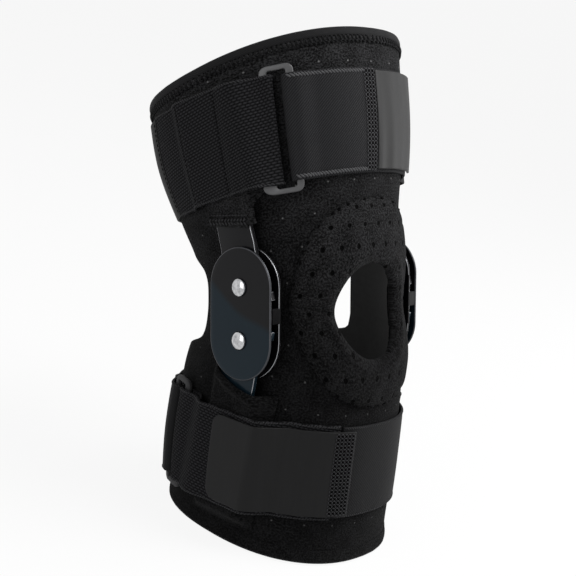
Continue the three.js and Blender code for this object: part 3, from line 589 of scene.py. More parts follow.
def lacquer_with_painted_reflection(name, dark, blue):
    """Glossy black lacquer with a painted reflection: nearly black at one end, with a slate-blue
    reflection painted over the other.

    The painted reflection has a wavy edge, from swirls about 55 mm wide, and the lacquer a grain of about 1
    mm.
    """
    material, tree, shader = new_material(name, 0.3, Specular_IOR_Level=0.1, Coat_Weight=0.08,
                                          Coat_Roughness=0.05)
    place = add(tree, "TexCoord").node.outputs["Object"]
    swirl = add(tree, "TexNoise", {"Vector": place, "Scale": 18, "Detail": 1.0})
    at = add(tree, "SeparateXYZ", {"Vector": place}).node.outputs
    height = add(tree, "Math", [swirl, 0.03, at["Z"]], operation="MULTIPLY_ADD")
    height = add(tree, "Math", [at["Y"], -0.2, height], operation="MULTIPLY_ADD")
    share = add(tree, "MapRange", {"Value": height, "From Min": REFLECTION_STARTS, "From Max": REFLECTION_FULL})
    colour = add(tree, "Mix", {0: share, 6: linear(dark), 7: linear(blue)}, data_type="RGBA")
    grain = add(tree, "TexNoise", {"Vector": place, "Scale": 900, "Detail": 2.0})
    surface(tree, shader, colour, grain, 0.004)
    return material


# The sleeve's pile: flat black with greyer tips, and grey dots where the neoprene shows in the air holes
PLUSH = plush_knit("plush_knit_on_neoprene", "#060606", "#232324", 17, 17, 0.5, "#5a5a5a")
# The pad's pile: fluffier and greyer, with wide holes that look black
PAD_PLUSH = plush_knit("padded_plush_knit", "#070707", "#29292a", HOLE_PITCH, HOLE_ROW, 1.25, "#000000")
# The pockets' pile: greyer from brushing, with holes too small and far apart to see
PILE = plush_knit("brushed_pile", "#060606", "#272728", 400, 400, 0.01, "#0f0f10")
# The neoprene inside the sleeve: an even, smooth mid grey
LINER = hard_finish("smooth_neoprene_liner", "#3f3f3f", "#494949", 0.8, 0.0, 3, 0.03, Specular_IOR_Level=0.2)
# The elastic: a coarse basket of pale crowns between black gaps
ELASTIC = woven("woven_polyester_elastic", "#010101", "#303032", 2.7, 1.7, 0.12, 0.7)
# The thigh's webbing: clear diagonal lines with a slight gloss
WEBBING = twill("fine_polyester_webbing", "#0c0c0d", "#2b2b2d", 1.8, 0.25)
# The calf's webbing: lines so soft that it looks plain
SOFT_WEBBING = twill("brushed_polyester_webbing", "#101011", "#1b1b1c", 1.8, 0.08)
# The tape round the rims: narrow, dull lines
TAPE = twill("binding_tape", "#0f0f10", "#1f1f20", 1.3, 0.1)
# The front tabs: a dark satin that catches the light where it curves
TAB = hook_tape("calendered_nylon_hook_tape", "#0f0f0f", "#151516", 0.14)
# The rear tab: darker, with no gloss
MATT_TAB = hook_tape("matt_nylon_hook_tape", "#080808", "#0e0e0f", 0.03)
# Painted shade where a stitch pulls the cloth down: black, whatever the light
PIT_SHADE = hard_finish("shadowed_cloth", "#020202", "#060606", 0.95, 0.0, 1, 0.02, Specular_IOR_Level=0.05)
# Selvages of the elastics: grey threads that stand off the black
THREAD = spun_thread("polyester_thread", "#161617", "#28282a", 0.7, 0.2)
# Seams in the pile: thread as dark as the cloth, seen by its shape
DULL_THREAD = spun_thread("sewing_thread", "#0a0a0b", "#1b1b1c", 0.8, 0.1)
# The box stitch of the thigh strap: thick, smooth thread, paler than the webbing
BOX_THREAD = spun_thread("bonded_polyester_thread", "#1f1f21", "#404042", 0.6, 0.2)
# The webbing's selvage: the palest thread, a bright slanted line
BRIGHT_THREAD = spun_thread("selvage_thread", "#262628", "#525254", 0.6, 0.3)
# The thigh's ring: mid grey plastic with a soft shine
RING_PLASTIC = hard_finish("moulded_acetal", "#3c3c3e", "#484849", 0.4, 0.0, 4, 0.03)
# The calf's ring: the same plastic, painted darker as shade, and duller
SHADED_RING = hard_finish("shaded_moulded_acetal", "#1c1c1d", "#262627", 0.6, 0.0, 4, 0.03,
                          Specular_IOR_Level=0.2)
# The outer plates: deep gloss, black above, with a painted blue-grey reflection below
PAINTED_REFLECTION_LACQUER = lacquer_with_painted_reflection("lacquer_with_painted_blue_reflection", "#101012", "#101d25")
# Their edges: dark grey metal with a painted highlight line along the rounded edge
EDGE = hard_finish("lacquer_edge_with_painted_highlight", "#343538", "#4c4d50", 0.35, 0.9, 6, 0.01)
# The inner plates: a plain black that hardly shines
LACQUER = hard_finish("black_lacquered_steel", "#040405", "#08080a", 0.45, 0.0, 9, 0.01,
                      Specular_IOR_Level=0.05)
# The cut edges of inner plates and arms: bright metal, a thin painted highlight line
HIGHLIGHT_EDGE = hard_finish("steel_edge_with_painted_highlight", "#7c7d80", "#a4a5a8", 0.3, 0.9, 6, 0.01)
# The arms' own solids, under the stays: a smooth, even black
ANODISED = hard_finish("black_anodised_aluminium", "#0d0d0e", "#141415", 0.4, 0.0, 2, 0.01,
                       Specular_IOR_Level=0.12)
# The rivets: nickel, mottled light and dark as painted reflections of a room, and a painted dark reflection
# on the ring round each head
CHROME = hard_finish("nickel_plated_steel", "#0c0d0f", "#f2f3f5", 0.12, 1.0, 2.6, 0.05)
DARK_REFLECTION_NICKEL = hard_finish("nickel_with_painted_dark_reflection", "#242528", "#46474c", 0.2, 1.0, 1.5, 0.02)
# The washers: a dull black
NYLON = hard_finish("black_nylon", "#0b0b0b", "#121212", 0.5, 0.0, 2, 0.01)


# ---------------------------------- sleeve
def rim_level(half, turn):
    """The rim lies in one plane, further from the knee in front than behind."""
    height, slope = RIM_HEIGHT[half], RIM_SLOPE[half]
    _, half_depth, centre = leg_section(np.array([height]))
    level = np.full_like(np.asarray(turn, float), height)
    for _ in range(4):
        level = height + slope * (centre[0] - on_leg(turn, level, 0)[..., 1]) / half_depth[0]
    return level


def hem_level(half, turn):
    """The seam between the knee and the thigh or calf runs further from the knee behind."""
    return half * (SEAM_HEIGHT[half] + SEAM_NOTCH[half] * np.maximum(0, -forward(turn)) ** 2)


def wing_turn(half, height, side):
    """Where the knee cloth ends behind, on the outer side of the leg (1) or the inner (-1)."""
    edge = SEAM_HEIGHT[half]
    narrow = np.where(side > 0, *WING_TURN)
    return narrow + (WING_SEAM_TURN - narrow) * smooth(np.abs(height), edge * 0.45, edge)


def knee_oval(half_width, half_height, lift, angle):
    """Turn and height round the kneecap."""
    turn = np.degrees(half_width * np.cos(angle) / KNEE_HALF_DEPTH) + PATELLA_TURN
    return turn, lift + half_height * np.sin(angle)


def sleeve_half(name, half):
    """Half of the sleeve, from the middle of the hinge to its rim, open behind the knee."""
    # columns from wing to wing and behind them, rows up to the seam and past it
    wing, rear, knee_rows, rim_rows = 144, 20, 24, 36
    columns, rows = wing + rear, knee_rows + rim_rows
    cloth = flat_panel(name, 0, columns, 0, rows, columns, rows)
    take_faces(cloth, lambda c: c.x > wing and c.y < knee_rows)
    column, row, _ = points_of(cloth).T

    # the edge of the window behind the knee is marked, and the grid laid out in turns and heights
    beside = (row <= knee_rows) & ((column == 0) | (column == wing))
    above = (row == knee_rows) & (column > wing)
    window = cloth.data.attributes.new("window", "FLOAT", "POINT")
    window.data.foreach_set("value", (beside | above).astype(np.float32))
    up = np.clip(row / knee_rows, 0, 1)
    past = np.clip((row - knee_rows) / rim_rows, 0, 1)
    share = 2 * column / wing - 1
    across = share * wing_turn(half, SEAM_HEIGHT[half] * up, share)
    behind = WING_SEAM_TURN + (column - wing) / rear * (360 - 2 * WING_SEAM_TURN)
    turn = np.where(column <= wing, across, behind)
    hem = hem_level(half, turn)
    level = hem * up + (rim_level(half, turn) - hem) * past

    # the hole for the kneecap, its edge under the pad
    wide, tall = np.degrees((PATELLA[0] + 2) / KNEE_HALF_DEPTH), PATELLA[1] + 2
    move_points(cloth, np.stack([turn, level, 0 * level], -1))
    take_faces(cloth, lambda c: math.hypot((c.x - PATELLA_TURN) / wide, c.y / tall) < 1)
    turn, level, _ = points_of(cloth).T
    reach = np.maximum(np.hypot((turn - PATELLA_TURN) / wide, level / tall), 0.5)
    stretch = np.where(reach < 1, 1 / reach, 1)
    turn, level = PATELLA_TURN + (turn - PATELLA_TURN) * stretch, level * stretch

    # the cloth lies a little uneven, but not at the hinge or at the rim
    lay_uv(cloth, np.stack([round_leg(turn), level], -1))
    below = np.abs(rim_level(half, turn) - level)
    still = smooth(np.abs(level), 4, 26) * smooth(below, 0, 14)
    out = (ripple(round_leg(turn), level, 26, 0.8, 3) - 0.3) * still
    move_points(cloth, stand(on_leg(turn, level, out)))
    welded(cloth, 0.0001)
    middle = Vector(stand(np.array([0.0, 12.0, half * 70.0])))
    polygon = min(cloth.data.polygons, key=lambda p: (p.center - middle).length)
    if (polygon.center - middle).dot(polygon.normal) < 0:
        edited(cloth, bpy.ops.mesh.flip_normals)
    paint(cloth, PLUSH, LINER)
    modified(cloth, "SOLIDIFY", thickness=SLEEVE_THICKNESS * MM, offset=-1, material_offset=1)

    # the open edge behind the knee is rounded
    edited(cloth, lambda: bpy.ops.mesh.select_mode(type="EDGE"),
           lambda: bpy.ops.mesh.select_all(action="DESELECT"),
           lambda: bpy.ops.mesh.edges_select_sharp(sharpness=math.radians(60)))
    marked = [item.value > 0.5 for item in cloth.data.attributes["window"].data]
    for edge in cloth.data.edges:
        edge.select = edge.select and all(marked[v] for v in edge.vertices)
    bpy.ops.object.mode_set(mode="EDIT")
    bpy.ops.mesh.bevel(offset=1.3 * MM, segments=3, affect="EDGES")
    bpy.ops.object.mode_set(mode="OBJECT")
    return smooth_shade(cloth, 50)


bend_with_knee(sleeve_half("thigh_cloth", THIGH), THIGH, "knit_sleeve", "thigh_sleeve", "knee_sleeve")
bend_with_knee(sleeve_half("calf_cloth", CALF), CALF, "knit_sleeve", "calf_sleeve")


# ---------------------------------- straps
def length_at(half, turn):
    """Length round the leg at the strap's level."""
    return math.radians(turn) * STRAP_RADIUS[half]


# A strap's path is a list of points: length round the leg, and distance out from it.
def run(start, end, out):
    return [(s, out) for s in np.linspace(start, end, max(2, round(abs(end - start))) + 1)]


def fold(at, way):
    """Round a bar of the ring, from the lower layer to the upper one."""
    angles = np.radians(np.linspace(-90, 90, 15))
    return [(at + way * (FOLD_FLAT + FOLD_RADIUS * np.cos(a)), RING_OUT + FOLD_RADIUS * np.sin(a))
            for a in angles]


def ease_down(start, way, target):
    """Off the ring's bar, over the folded end, to the layer the strap goes on in."""
    top = RING_OUT + FOLD_RADIUS
    over = [(start + way * t * FOLD_LENGTH, top + (HIGH - top) * smooth(t, 0, 1))
            for t in np.linspace(0, 1, 16)]
    end = start + way * (FOLD_LENGTH + 3)
    down = [(end + way * 6 * t, HIGH + (target - HIGH) * smooth(t, 0, 1)) for t in np.linspace(0, 1, 7)]
    return over if target == HIGH else over + down


def looped(bar, way, end, target):
    """From the folded end, round the bar and on to the strap's end."""
    return [*run(bar + way * FOLD_LENGTH, bar + way * 2.2, LOW), *fold(bar, -way),
            *ease_down(bar + way, way, target), *run(bar + way * (FOLD_LENGTH + 10), end, target)]


class Strap:
    """A strap cut flat, x along it, y up it and z out of it, and how it is wrapped."""

    def __init__(self, half, path, height):
        self.half, self.height = half, height
        s, d = np.array(path).T
        along = lengths_along(self.wrapped(s, d))
        keep = np.concatenate([[True], np.diff(along) > 0.02])
        self.s, self.d, self.along = s[keep], d[keep], along[keep]
        self.length = self.along[-1]
        self.side = np.sign(self.s[-1] - self.s[-2])
        self.parts = []

    def wrapped(self, s, d, y=0.0):
        """Length round the leg, distance out and height on the strap, to the straight leg."""
        turn = np.degrees(s / STRAP_RADIUS[self.half])
        level = STRAP_LEVEL[self.half] + STRAP_SLOPE[self.half] * forward(turn) + y
        return over_leg(self.half, turn, level, d)

    def at(self, s):
        """Length along the strap of a place round the leg, on its outer layer."""
        outer = self.s[-len(self.s) // 2:], self.along[-len(self.s) // 2:]
        order = np.argsort(outer[0])
        return float(np.interp(s, outer[0][order], outer[1][order]))

    def panel(self, name, material, thickness=STRAP_THICKNESS, corner=0.0, pitch=1.25):
        """The cloth itself: its rows crowd towards the edges."""
        cloth = flat_panel(name, 0, self.length, -1, 1, round(self.length / pitch), 34)
        x, y, z = points_of(cloth).T
        y = self.height / 2 * (1.25 * y - 0.25 * y**3)
        if corner:
            inset = np.maximum(np.abs(y) - (self.height / 2 - corner), 0)
            cut = corner - np.sqrt(np.maximum(corner**2 - inset**2, 0))
            x = x - smooth(x, self.length - 3 * corner, self.length) * cut
        move_points(cloth, np.stack([x, y, z], -1))
        lay_uv(cloth)
        modified(cloth, "SOLIDIFY", thickness=thickness, offset=0)
        bevelled(cloth, 0.55, 60)
        paint(cloth, material)
        self.parts.append(smooth_shade(cloth, 60))
        return cloth

    def emboss(self, cloth, raise_by):
        """Moves the outer face by a height that depends on the place."""
        x, y, z = points_of(cloth).T
        move_points(cloth, np.stack([x, y, z + np.where(z > 0, raise_by(x, y), 0)], -1))

    def finish(self):
        """Joins the parts and wraps them round the leg."""
        piece = joined(*self.parts[1:], self.parts[0])
        x, y, z = points_of(piece).T
        size = np.hypot(np.gradient(self.s, self.along), np.gradient(self.d, self.along))
        slope_s, slope_d = (np.gradient(v, self.along) / size for v in (self.s, self.d))
        s = np.interp(x, self.along, self.s) - self.side * np.interp(x, self.along, slope_d) * z
        d = np.interp(x, self.along, self.d) + self.side * np.interp(x, self.along, slope_s) * z
        move_points(piece, stand(self.wrapped(s, d, y)))
        if self.side > 0:
            edited(piece, bpy.ops.mesh.flip_normals)
        return piece


def elastic_relief(strap, grooves, deep, narrow, wide):
    """The raised selvages of an elastic, and the grooves of its seams."""
    def raise_by(x, y):
        selvage = 0.35 * smooth(np.abs(y), strap.height / 2 - 2.6, strap.height / 2 - 1.6)
        return selvage - deep * sum(1 - smooth(np.abs(x - groove), narrow, wide) for groove in grooves)
    return raise_by


def edge_threads(strap, x_from, x_to, material,
                 inset=0.9, long=2.2, wide=0.9, pitch=1.7, slant=35, lift=0.95):
    """The selvage: slanted threads along both edges."""
    for side in (-1, 1):
        y = side * (strap.height / 2 - inset)
        strap.parts.append(stitches((x_from, y), (x_to, y), pitch, long, wide, slant, lift, material))


def cross_stitch(strap, x, inset, pitch, long, wide, lift, material):
    """A row of stitches straight across the strap."""
    top = strap.height / 2 - inset
    strap.parts.append(stitches((x, -top), (x, top), pitch, long, wide, 0, lift, material))


def box_stitch(strap, cloth, x_from, x_to, lift, thread):
    """The grid of lock stitches that holds two straps together, over cloth that it pulls down, painted black
    as shade.
    """
    across, along, wide, inset = 2.3, 2.5, 1.05, 1.2
    columns, top = round((x_to - x_from) / along), strap.height / 2 - inset
    step = (x_to - x_from) / columns
    for i in range(columns + 1):
        cross_stitch(strap, x_from + i * step, inset, across, 2.1, wide, lift, thread)
    rows = round(2 * top / across)
    for j in range(rows + 1):
        y = -top + 2 * top * j / rows
        strap.parts.append(stitches((x_from, y), (x_to, y), step, 2.3, wide, 0, lift, thread))
    cloth.data.materials.append(PIT_SHADE)
    for polygon in cloth.data.polygons:
        x, y, z = polygon.center
        if x_from - 0.3 < x < x_to + 0.3 and abs(y) < top and z > 0:
            polygon.material_index = 1


# Thigh: an elastic from behind to the ring, and a webbing from behind round the inner side to the ring.
# The selvages' threads start past the fold round the ring.
thigh_ring = length_at(THIGH, RING_TURN[THIGH])
elastic_end = length_at(THIGH, ELASTIC_END_TURN)
thigh_seam = length_at(THIGH, STRAP_SEAM_TURN[THIGH])

strap = Strap(THIGH, looped(thigh_ring + BAR, 1, elastic_end, LOW), STRAP_HEIGHT[THIGH])
cloth = strap.panel("thigh_elastic_cloth", ELASTIC, pitch=0.8)
grooves = [strap.at(length_at(THIGH, turn)) for turn in GROOVE_TURNS[THIGH]]
strap.emboss(cloth, elastic_relief(strap, grooves, 0.5, 0.2, 1.3))
# the dark ticks in the grooves are painted shade
for groove in grooves:
    cross_stitch(strap, groove, 3, 3.0, 2.2, 0.8, 0.25, PIT_SHADE)
edge_threads(strap, 22, strap.length - 1, THREAD)
ride(strap.finish(), "thigh", "coarse_elastic", "thigh_elastic")

strap = Strap(THIGH, run(elastic_end + BUTT_GAP, length_at(THIGH, REAR_TAB_TURN), LOW), TAB_HEIGHT[THIGH] + 3)
cloth = strap.panel("thigh_rear_tape", MATT_TAB, corner=TAB_CORNER)
# a row of dark stitches painted as shade
cross_stitch(strap, 3, 2, 2.9, 2.4, 0.9, 0.62, PIT_SHADE)
ride(strap.finish(), "rear_tab", "hook_tab", "thigh_rear_tab")

bar = thigh_ring - BAR
path = [*run(length_at(THIGH, -REAR_TAB_TURN), bar - 2.2, LOW), *fold(bar, 1),
        *ease_down(bar - 1, -1, HIGH), *run(bar - 20, thigh_seam, HIGH)]
strap = Strap(THIGH, path, STRAP_HEIGHT[THIGH] - 2)
cloth = strap.panel("thigh_webbing_cloth", WEBBING)
folded = strap.at(bar - 4)
strap.emboss(cloth, lambda x, y: 0.45 * smooth(x, folded - 4, folded) * (
    1 - smooth(np.abs(y), strap.height / 2 - 3.6, strap.height / 2 - 3.0)))
edge_threads(strap, folded - 6, strap.length - 9, BRIGHT_THREAD, 1.9, 4.2, 1.3, 2.1, -38, 0.85)
box_stitch(strap, cloth, strap.length - 9, strap.length - 1, 1.25, BOX_THREAD)
ride(strap.finish(), "thigh", "fine_webbing", "thigh_webbing")

tab_root = thigh_seam - BUTT_GAP
strap = Strap(THIGH, run(tab_root, tab_root - TAB_LENGTH, HIGH + CLOTH_GAP), TAB_HEIGHT[THIGH])
cloth = strap.panel("thigh_front_tape", TAB, corner=TAB_CORNER, thickness=TAB_THICKNESS)
strap.emboss(cloth, lambda x, y: ripple(x, 0.1 * y, 8, 0.5, 5))
ride(strap.finish(), "thigh_tab", "hook_tab", "thigh_front_tab")

# Calf: an elastic from the front seam to the ring, and a webbing from the ring round behind to the seam
calf_ring = length_at(CALF, RING_TURN[CALF])
calf_seam = length_at(CALF, STRAP_SEAM_TURN[CALF])
once_round = 2 * math.pi * STRAP_RADIUS[CALF]

strap = Strap(CALF, looped(calf_ring - BAR, -1, calf_seam + 2, LOW), STRAP_HEIGHT[CALF])
cloth = strap.panel("calf_elastic_cloth", ELASTIC)
grooves = [strap.at(length_at(CALF, turn)) for turn in GROOVE_TURNS[CALF]]
strap.emboss(cloth, elastic_relief(strap, grooves, 0.6, 0.3, 1.8))
edge_threads(strap, 20, strap.length - 1, THREAD)
ride(strap.finish(), "calf", "coarse_elastic", "calf_elastic")

strap = Strap(CALF, looped(calf_ring + BAR, 1, once_round + calf_seam, LOW), STRAP_HEIGHT[CALF] - 2)
cloth = strap.panel("calf_webbing_cloth", SOFT_WEBBING, pitch=1.6)
edge_threads(strap, 20, strap.length - 2, THREAD, inset=0.8, long=2.0, wide=0.8, lift=0.68)
ride(strap.finish(), "calf", "fine_webbing", "calf_webbing")

strap = Strap(CALF, run(calf_seam - 8, length_at(CALF, CALF_TAB_TURN), HIGH + CLOTH_GAP), TAB_HEIGHT[CALF])
cloth = strap.panel("calf_front_tape", TAB, corner=TAB_CORNER, thickness=TAB_THICKNESS)
box_stitch(strap, cloth, 1.2, 13.7, 0.8, THREAD)
ride(strap.finish(), "calf_tab", "hook_tab", "calf_front_tab")


# ---------------------------------- pad round the kneecap
# Section of the pad: distance out from the opening, and height over the sleeve.
PAD_SECTION = np.array([
    (26, 0.55), (25.2, 1.1), (23.5, 1.9), (19, 2.7), (14, 3.0), (9.5, 2.9), (7.5, 2.95), (5, 3.7),
    (2.5, 3.9), (0.2, 3.0), (-1.2, 1.0), (-1.3, -1.0), (-0.3, -2.4), (0.5, -1.6), (0.6, 0.2), (1.6, 0.6),
    (6, 0.6), (12, 0.6), (18, 0.6), (22, 0.6), (25, 0.5),
])
PAD_SEAM_UNDER, PAD_SEAM_INNER, PAD_SEAM_OUTER = 0.7, 1.5, 23.8
PAD_FACE = 1.4
PAD_PRESSURE, PAD_SWELL = 6.0, 0.9
SIMULATION_SCALE, SIMULATION_FRAMES = 0.1, 20


def pad_place(x, r, z):
    """Length round the pad, distance out from the opening, height: to turn, level and height on the leg."""
    inner = [size + 1 for size in PATELLA]
    share = r / (PAD[0] - inner[0])
    half_height = inner[1] + share * (PAD[1] - inner[1])
    return *knee_oval(inner[0] + r, half_height, PAD_LIFT * share, x / PAD_ROUND), z


def swell(obj, pinned):
    """Fills a sewn piece like a cushion: seams stay, the cloth between them swells by simulation."""
    before = points_of(obj)
    move_points(obj, before * SIMULATION_SCALE)
    seam = obj.vertex_groups.new(name="seam")
    seam.add([int(i) for i in np.nonzero(pinned(before))[0]], 1.0, "REPLACE")
    cloth = obj.modifiers.new("Cloth", "CLOTH")
    settings = cloth.settings
    settings.quality = 6
    settings.mass = 0.2
    settings.tension_stiffness = settings.compression_stiffness = 20
    settings.shear_stiffness = 8
    settings.bending_stiffness = 0.4
    settings.vertex_group_mass = "seam"
    settings.use_pressure = True
    settings.uniform_pressure_force = PAD_PRESSURE
    settings.shrink_min = -0.03
    settings.effector_weights.gravity = 0
    for frame_number in range(1, SIMULATION_FRAMES + 1):
        bpy.context.scene.frame_set(frame_number)
    only(obj)
    bpy.ops.object.modifier_apply(modifier=cloth.name)
    bpy.context.scene.frame_set(1)
    obj.vertex_groups.clear()
    move = points_of(obj) / SIMULATION_SCALE - before
    far = np.linalg.norm(move, axis=1, keepdims=True)
    move_points(obj, before + move * np.minimum(1, PAD_SWELL / np.maximum(far, 1e-6)))


def pad_half(name, start):
    """Half of the pad, over an arc that starts at 0 or half way round."""
    ends = (start * math.pi * PAD_ROUND, (start + 1) * math.pi * PAD_ROUND)
    pad = flat_panel(name, *ends, 0, 1, 96, 48)
    x, t, _ = points_of(pad).T
    section = np.vstack([PAD_SECTION, PAD_SECTION[:1]])
    steps = lengths_along(section)
    r, z = (np.interp(t * steps[-1], steps, section[:, i]) for i in (0, 1))
    move_points(pad, np.stack([x, r, z], -1))
    welded(pad, 0.01)
    swell(pad, lambda p: (p[:, 2] < PAD_SEAM_UNDER) | (p[:, 1] < PAD_SEAM_INNER) | (p[:, 1] > PAD_SEAM_OUTER)
          | (np.abs(p[:, 0] - ends[0]) < 0.1) | (np.abs(p[:, 0] - ends[1]) < 0.1))
    modified(pad, "SUBSURF", levels=1, render_levels=1)
    edited(pad, lambda: bpy.ops.mesh.fill_holes(sides=0))
    x, r, z = points_of(pad).T
    turn, level, z = pad_place(x, r, z)
    along = round_leg(turn)

    # each air hole pulls the padding in round it
    row = np.round(level / HOLE_ROW)
    from_x = (along + (row % 2) * HOLE_PITCH / 2) % HOLE_PITCH
    from_x = np.minimum(from_x, HOLE_PITCH - from_x)
    near = np.hypot(from_x, level - row * HOLE_ROW)
    z = z - np.where(z > PAD_FACE, 0.55 * np.exp(-(near / 1.7) ** 2), 0)
    z = z + np.where(z > PAD_FACE, ripple(along, level, 9, 0.25, 8), 0)
    lay_uv(pad, np.stack([along, level], -1))
    paint(pad, PAD_PLUSH)
    move_points(pad, stand(on_leg(turn, level, z)))
    edited(pad, bpy.ops.mesh.flip_normals)
    smooth_shade(pad, 70)

    # the seam that sews it down, with dark stitches painted as shade in its dents
    seam = joined(stitches((ends[0], 25.4), (ends[1], 25.4), 3.1, 1.9, 0.8, 0, 1.15, DULL_THREAD),
                  stitches((ends[0] + 4, 25.0), (ends[1] - 4, 25.0), 7.6, 1.8, 1.6, 0, 1.25, PIT_SHADE))
    laid(seam, lambda x, r, z: stand(on_leg(*pad_place(x, r, z))), True)
    pad = joined(seam, pad)
    return pad


bend_with_knee(pad_half("patella_pad_upper", 0), THIGH, "perforated_knit", "patella_pad")
bend_with_knee(pad_half("patella_pad_lower", 1), CALF, "perforated_knit")


# ---------------------------------- edge bindings
# Section of the folded tape, over the rim from outside to inside: distance out, and height over the rim
RIM_PROFILE = np.array([(0.75, -7), (0.85, -5), (0.5, -4.1), (1.2, -3.2), (1.3, -1), (0.9, 0.6), (-0.2, 1.15),
                        (-1.75, 1.25), (-3.3, 1.15), (-4.4, 0.6), (-4.8, -1), (-4.75, -5), (-4.5, -7)])
CALF_RIM_EASE = (0.1, 0.35, 0.55, 0.8, 1.0)  # on the calf it lies flatter and runs out into the pile
RIM_COVERED = {THIGH: -4.1, CALF: -0.5}  # below this something else hides the tape
RIM_ROUND = 74


def rim_place(half):
    """Length round the rim, height over it and distance out, to the leg."""
    def place(x, y, z):
        turn = np.degrees(x / RIM_ROUND)
        return stand(on_leg(turn, rim_level(half, turn) + half * y, z))
    return place


def binding(name, half):
    """The folded tape that closes the rim, with its overlock stitches below it."""
    around = 2 * math.pi * RIM_ROUND
    profile = RIM_PROFILE.copy()
    if half == CALF:
        profile[:5, 0] = CALF_RIM_EASE
    steps = lengths_along(profile)
    tape = flat_panel(name, 0, around, 0, steps[-1], 220, 34)
    x, t, _ = points_of(tape).T
    lay_uv(tape)
    paint(tape, TAPE, PILE)
    # the tape's lower edge is hidden by its overlock on the thigh, and by the sleeve's pile on the calf
    covered = np.interp(RIM_COVERED[half], profile[:6, 1], steps[:6])
    for polygon in tape.data.polygons:
        polygon.material_index = int(polygon.center.y < covered)
    out, up = (np.interp(t, steps, profile[:, i]) for i in (0, 1))
    out = out + 0.12 * ripple(x, t, 5, 1, 4)
    move_points(tape, rim_place(half)(x, up, out))
    welded(tape, 0.0001)
    modified(tape, "SOLIDIFY", thickness=0.7 * MM, offset=-1)
    edited(tape, lambda: bpy.ops.mesh.normals_make_consistent(inside=False))
    smooth_shade(tape, 50)
    if half == CALF:
        return tape
    # the lowest row of dark stitches is painted shade
    rows = [stitches((0, -5.6), (around, -5.6), 2.9, 3.2, 1.9, 66, 0.75, DULL_THREAD),
            stitches((0, -7.6), (around, -7.6), 2.9, 2.4, 1.5, 25, 0.45, DULL_THREAD),
            stitches((1.4, -4.1), (around, -4.1), 2.9, 1.3, 0.9, 0, 0.6, PIT_SHADE)]
    threads = laid(joined(*rows), rim_place(half), True)
    return joined(threads, tape)


ride(binding("thigh_rim_tape", THIGH), "thigh", "edge_binding", "thigh_binding")
ride(binding("calf_rim_tape", CALF), "calf", "edge_binding", "calf_binding")


# ---------------------------------- pockets of the arms
SEAM_ASIDE = 15.4  # each side seam from the middle
MOUTH_ROWS = ((-1.2, 50, 1.8), (0.8, -50, 1.8), (3.4, 0, -0.1))  # the thigh's: place, slant and lift


def pocket(name, side, half):
    """The sewn channel that holds an arm: a hemmed mouth, and a seam down each side."""
    start, end, edge = POCKET_START[half], POCKET_END[half], POCKET_WIDTH / 2
    cloth = flat_panel(name, -edge, edge, 0, 1, 46, 80)
    x, t, _ = points_of(cloth).T
    # the mouth is slanted, and on the calf it goes round the end of the hinge behind
    mouth = start - 3.5 + 0.16 * np.clip(x, -16, 16) + 2 * smooth(np.abs(x), 16, edge)
    if half == CALF:
        reach = 25 + 4 * (1 - smooth(x, -13, 14))
        mouth = PIVOT + np.sqrt(reach**2 - np.clip(x, 0, 19) ** 2)
    y = mouth + t * (end - mouth)
    if half == THIGH:
        narrow = MOUTH_HALF_WIDTH / edge
        x = x * (narrow + (1 - narrow) * smooth(y, mouth + 8, mouth + 24))
    lay_uv(cloth, np.stack([x + side * 300, y * half], -1))

    # a hem at the mouth and a groove at each seam; grooves and folds fade out under the strap
    level = abs(STRAP_LEVEL[half]) - STRAP_HEIGHT[half] / 2
    past = level + STRAP_HEIGHT[half]
    free = (1 - smooth(y, level - 5, level)) + smooth(y, past, past + 4)
    over_arm = 1 - smooth(np.abs(x), 14, 17)
    hem = np.exp(-((y - mouth - 3.2) / 2.6) ** 2) * over_arm
    groove = np.exp(-((y - mouth - 7.2) / 1.0) ** 2) * over_arm
    groove = groove + np.exp(-((np.abs(x) - SEAM_ASIDE) / 0.9) ** 2)
    z = hem * (2.0 + ripple(x, y, 2.6, 1.2, 21)) - 0.4 * groove * free
    z = z + ripple(x + 50 * side, y * half, 5, 0.5, 11) * free
    move_points(cloth, np.stack([x, y, z], -1))
    modified(cloth, "SOLIDIFY", thickness=POCKET_THICKNESS, offset=-1)
    bevelled(cloth, 0.45, 60)
    paint(cloth, PILE)
    smooth_shade(cloth, 60)
    rows = [stitches((aside, start + 7), (aside, end - 12), 2.8, 2.0, 0.7, 0, 0.0, DULL_THREAD)
            for aside in (-SEAM_ASIDE, SEAM_ASIDE)]
    if half == THIGH:
        rows += [stitches((-14, start + y - 2.2), (14, start + y + 2.2), 2.4, 2.6, 1.2, slant, lift, THREAD)
                 for y, slant, lift in MOUTH_ROWS]

    def place(x, y, z):
        return stand(np.stack([side * (pocket_out(half, x, half * y) + z), x, half * y], -1))

    return laid(joined(*rows, cloth), place, side * half < 0)


for side_name, side in SIDES.items():
    for half_name, half in HALVES.items():
        piece = pocket(f"{side_name}_{half_name}_channel", side, half)
        ride(piece, half_name, "knit_sleeve", f"{side_name}_{half_name}_pocket")


# ---------------------------------- hinges and rings
def softened(node, name, width, *materials):
    """A copy of one of the frame's hard parts, with its edges rounded; a second finish goes on the edges."""
    only(frame["nodes"][node])
    bpy.ops.object.duplicate()
    part = bpy.context.object
    part.name = part.data.name = name
    part.parent = None
    for key in [key for key in part.keys() if key.startswith("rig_")]:
        del part[key]
    edited(part, lambda: bpy.ops.mesh.remove_doubles(threshold=0.00001),
           lambda: bpy.ops.mesh.dissolve_limited(angle_limit=math.radians(1)))
    paint(part, *materials)
    if width:
        bevelled(part, width * MM, 30, 3, material=min(1, len(materials) - 1), use_clamp_overlap=False)
    return smooth_shade(part, 50)


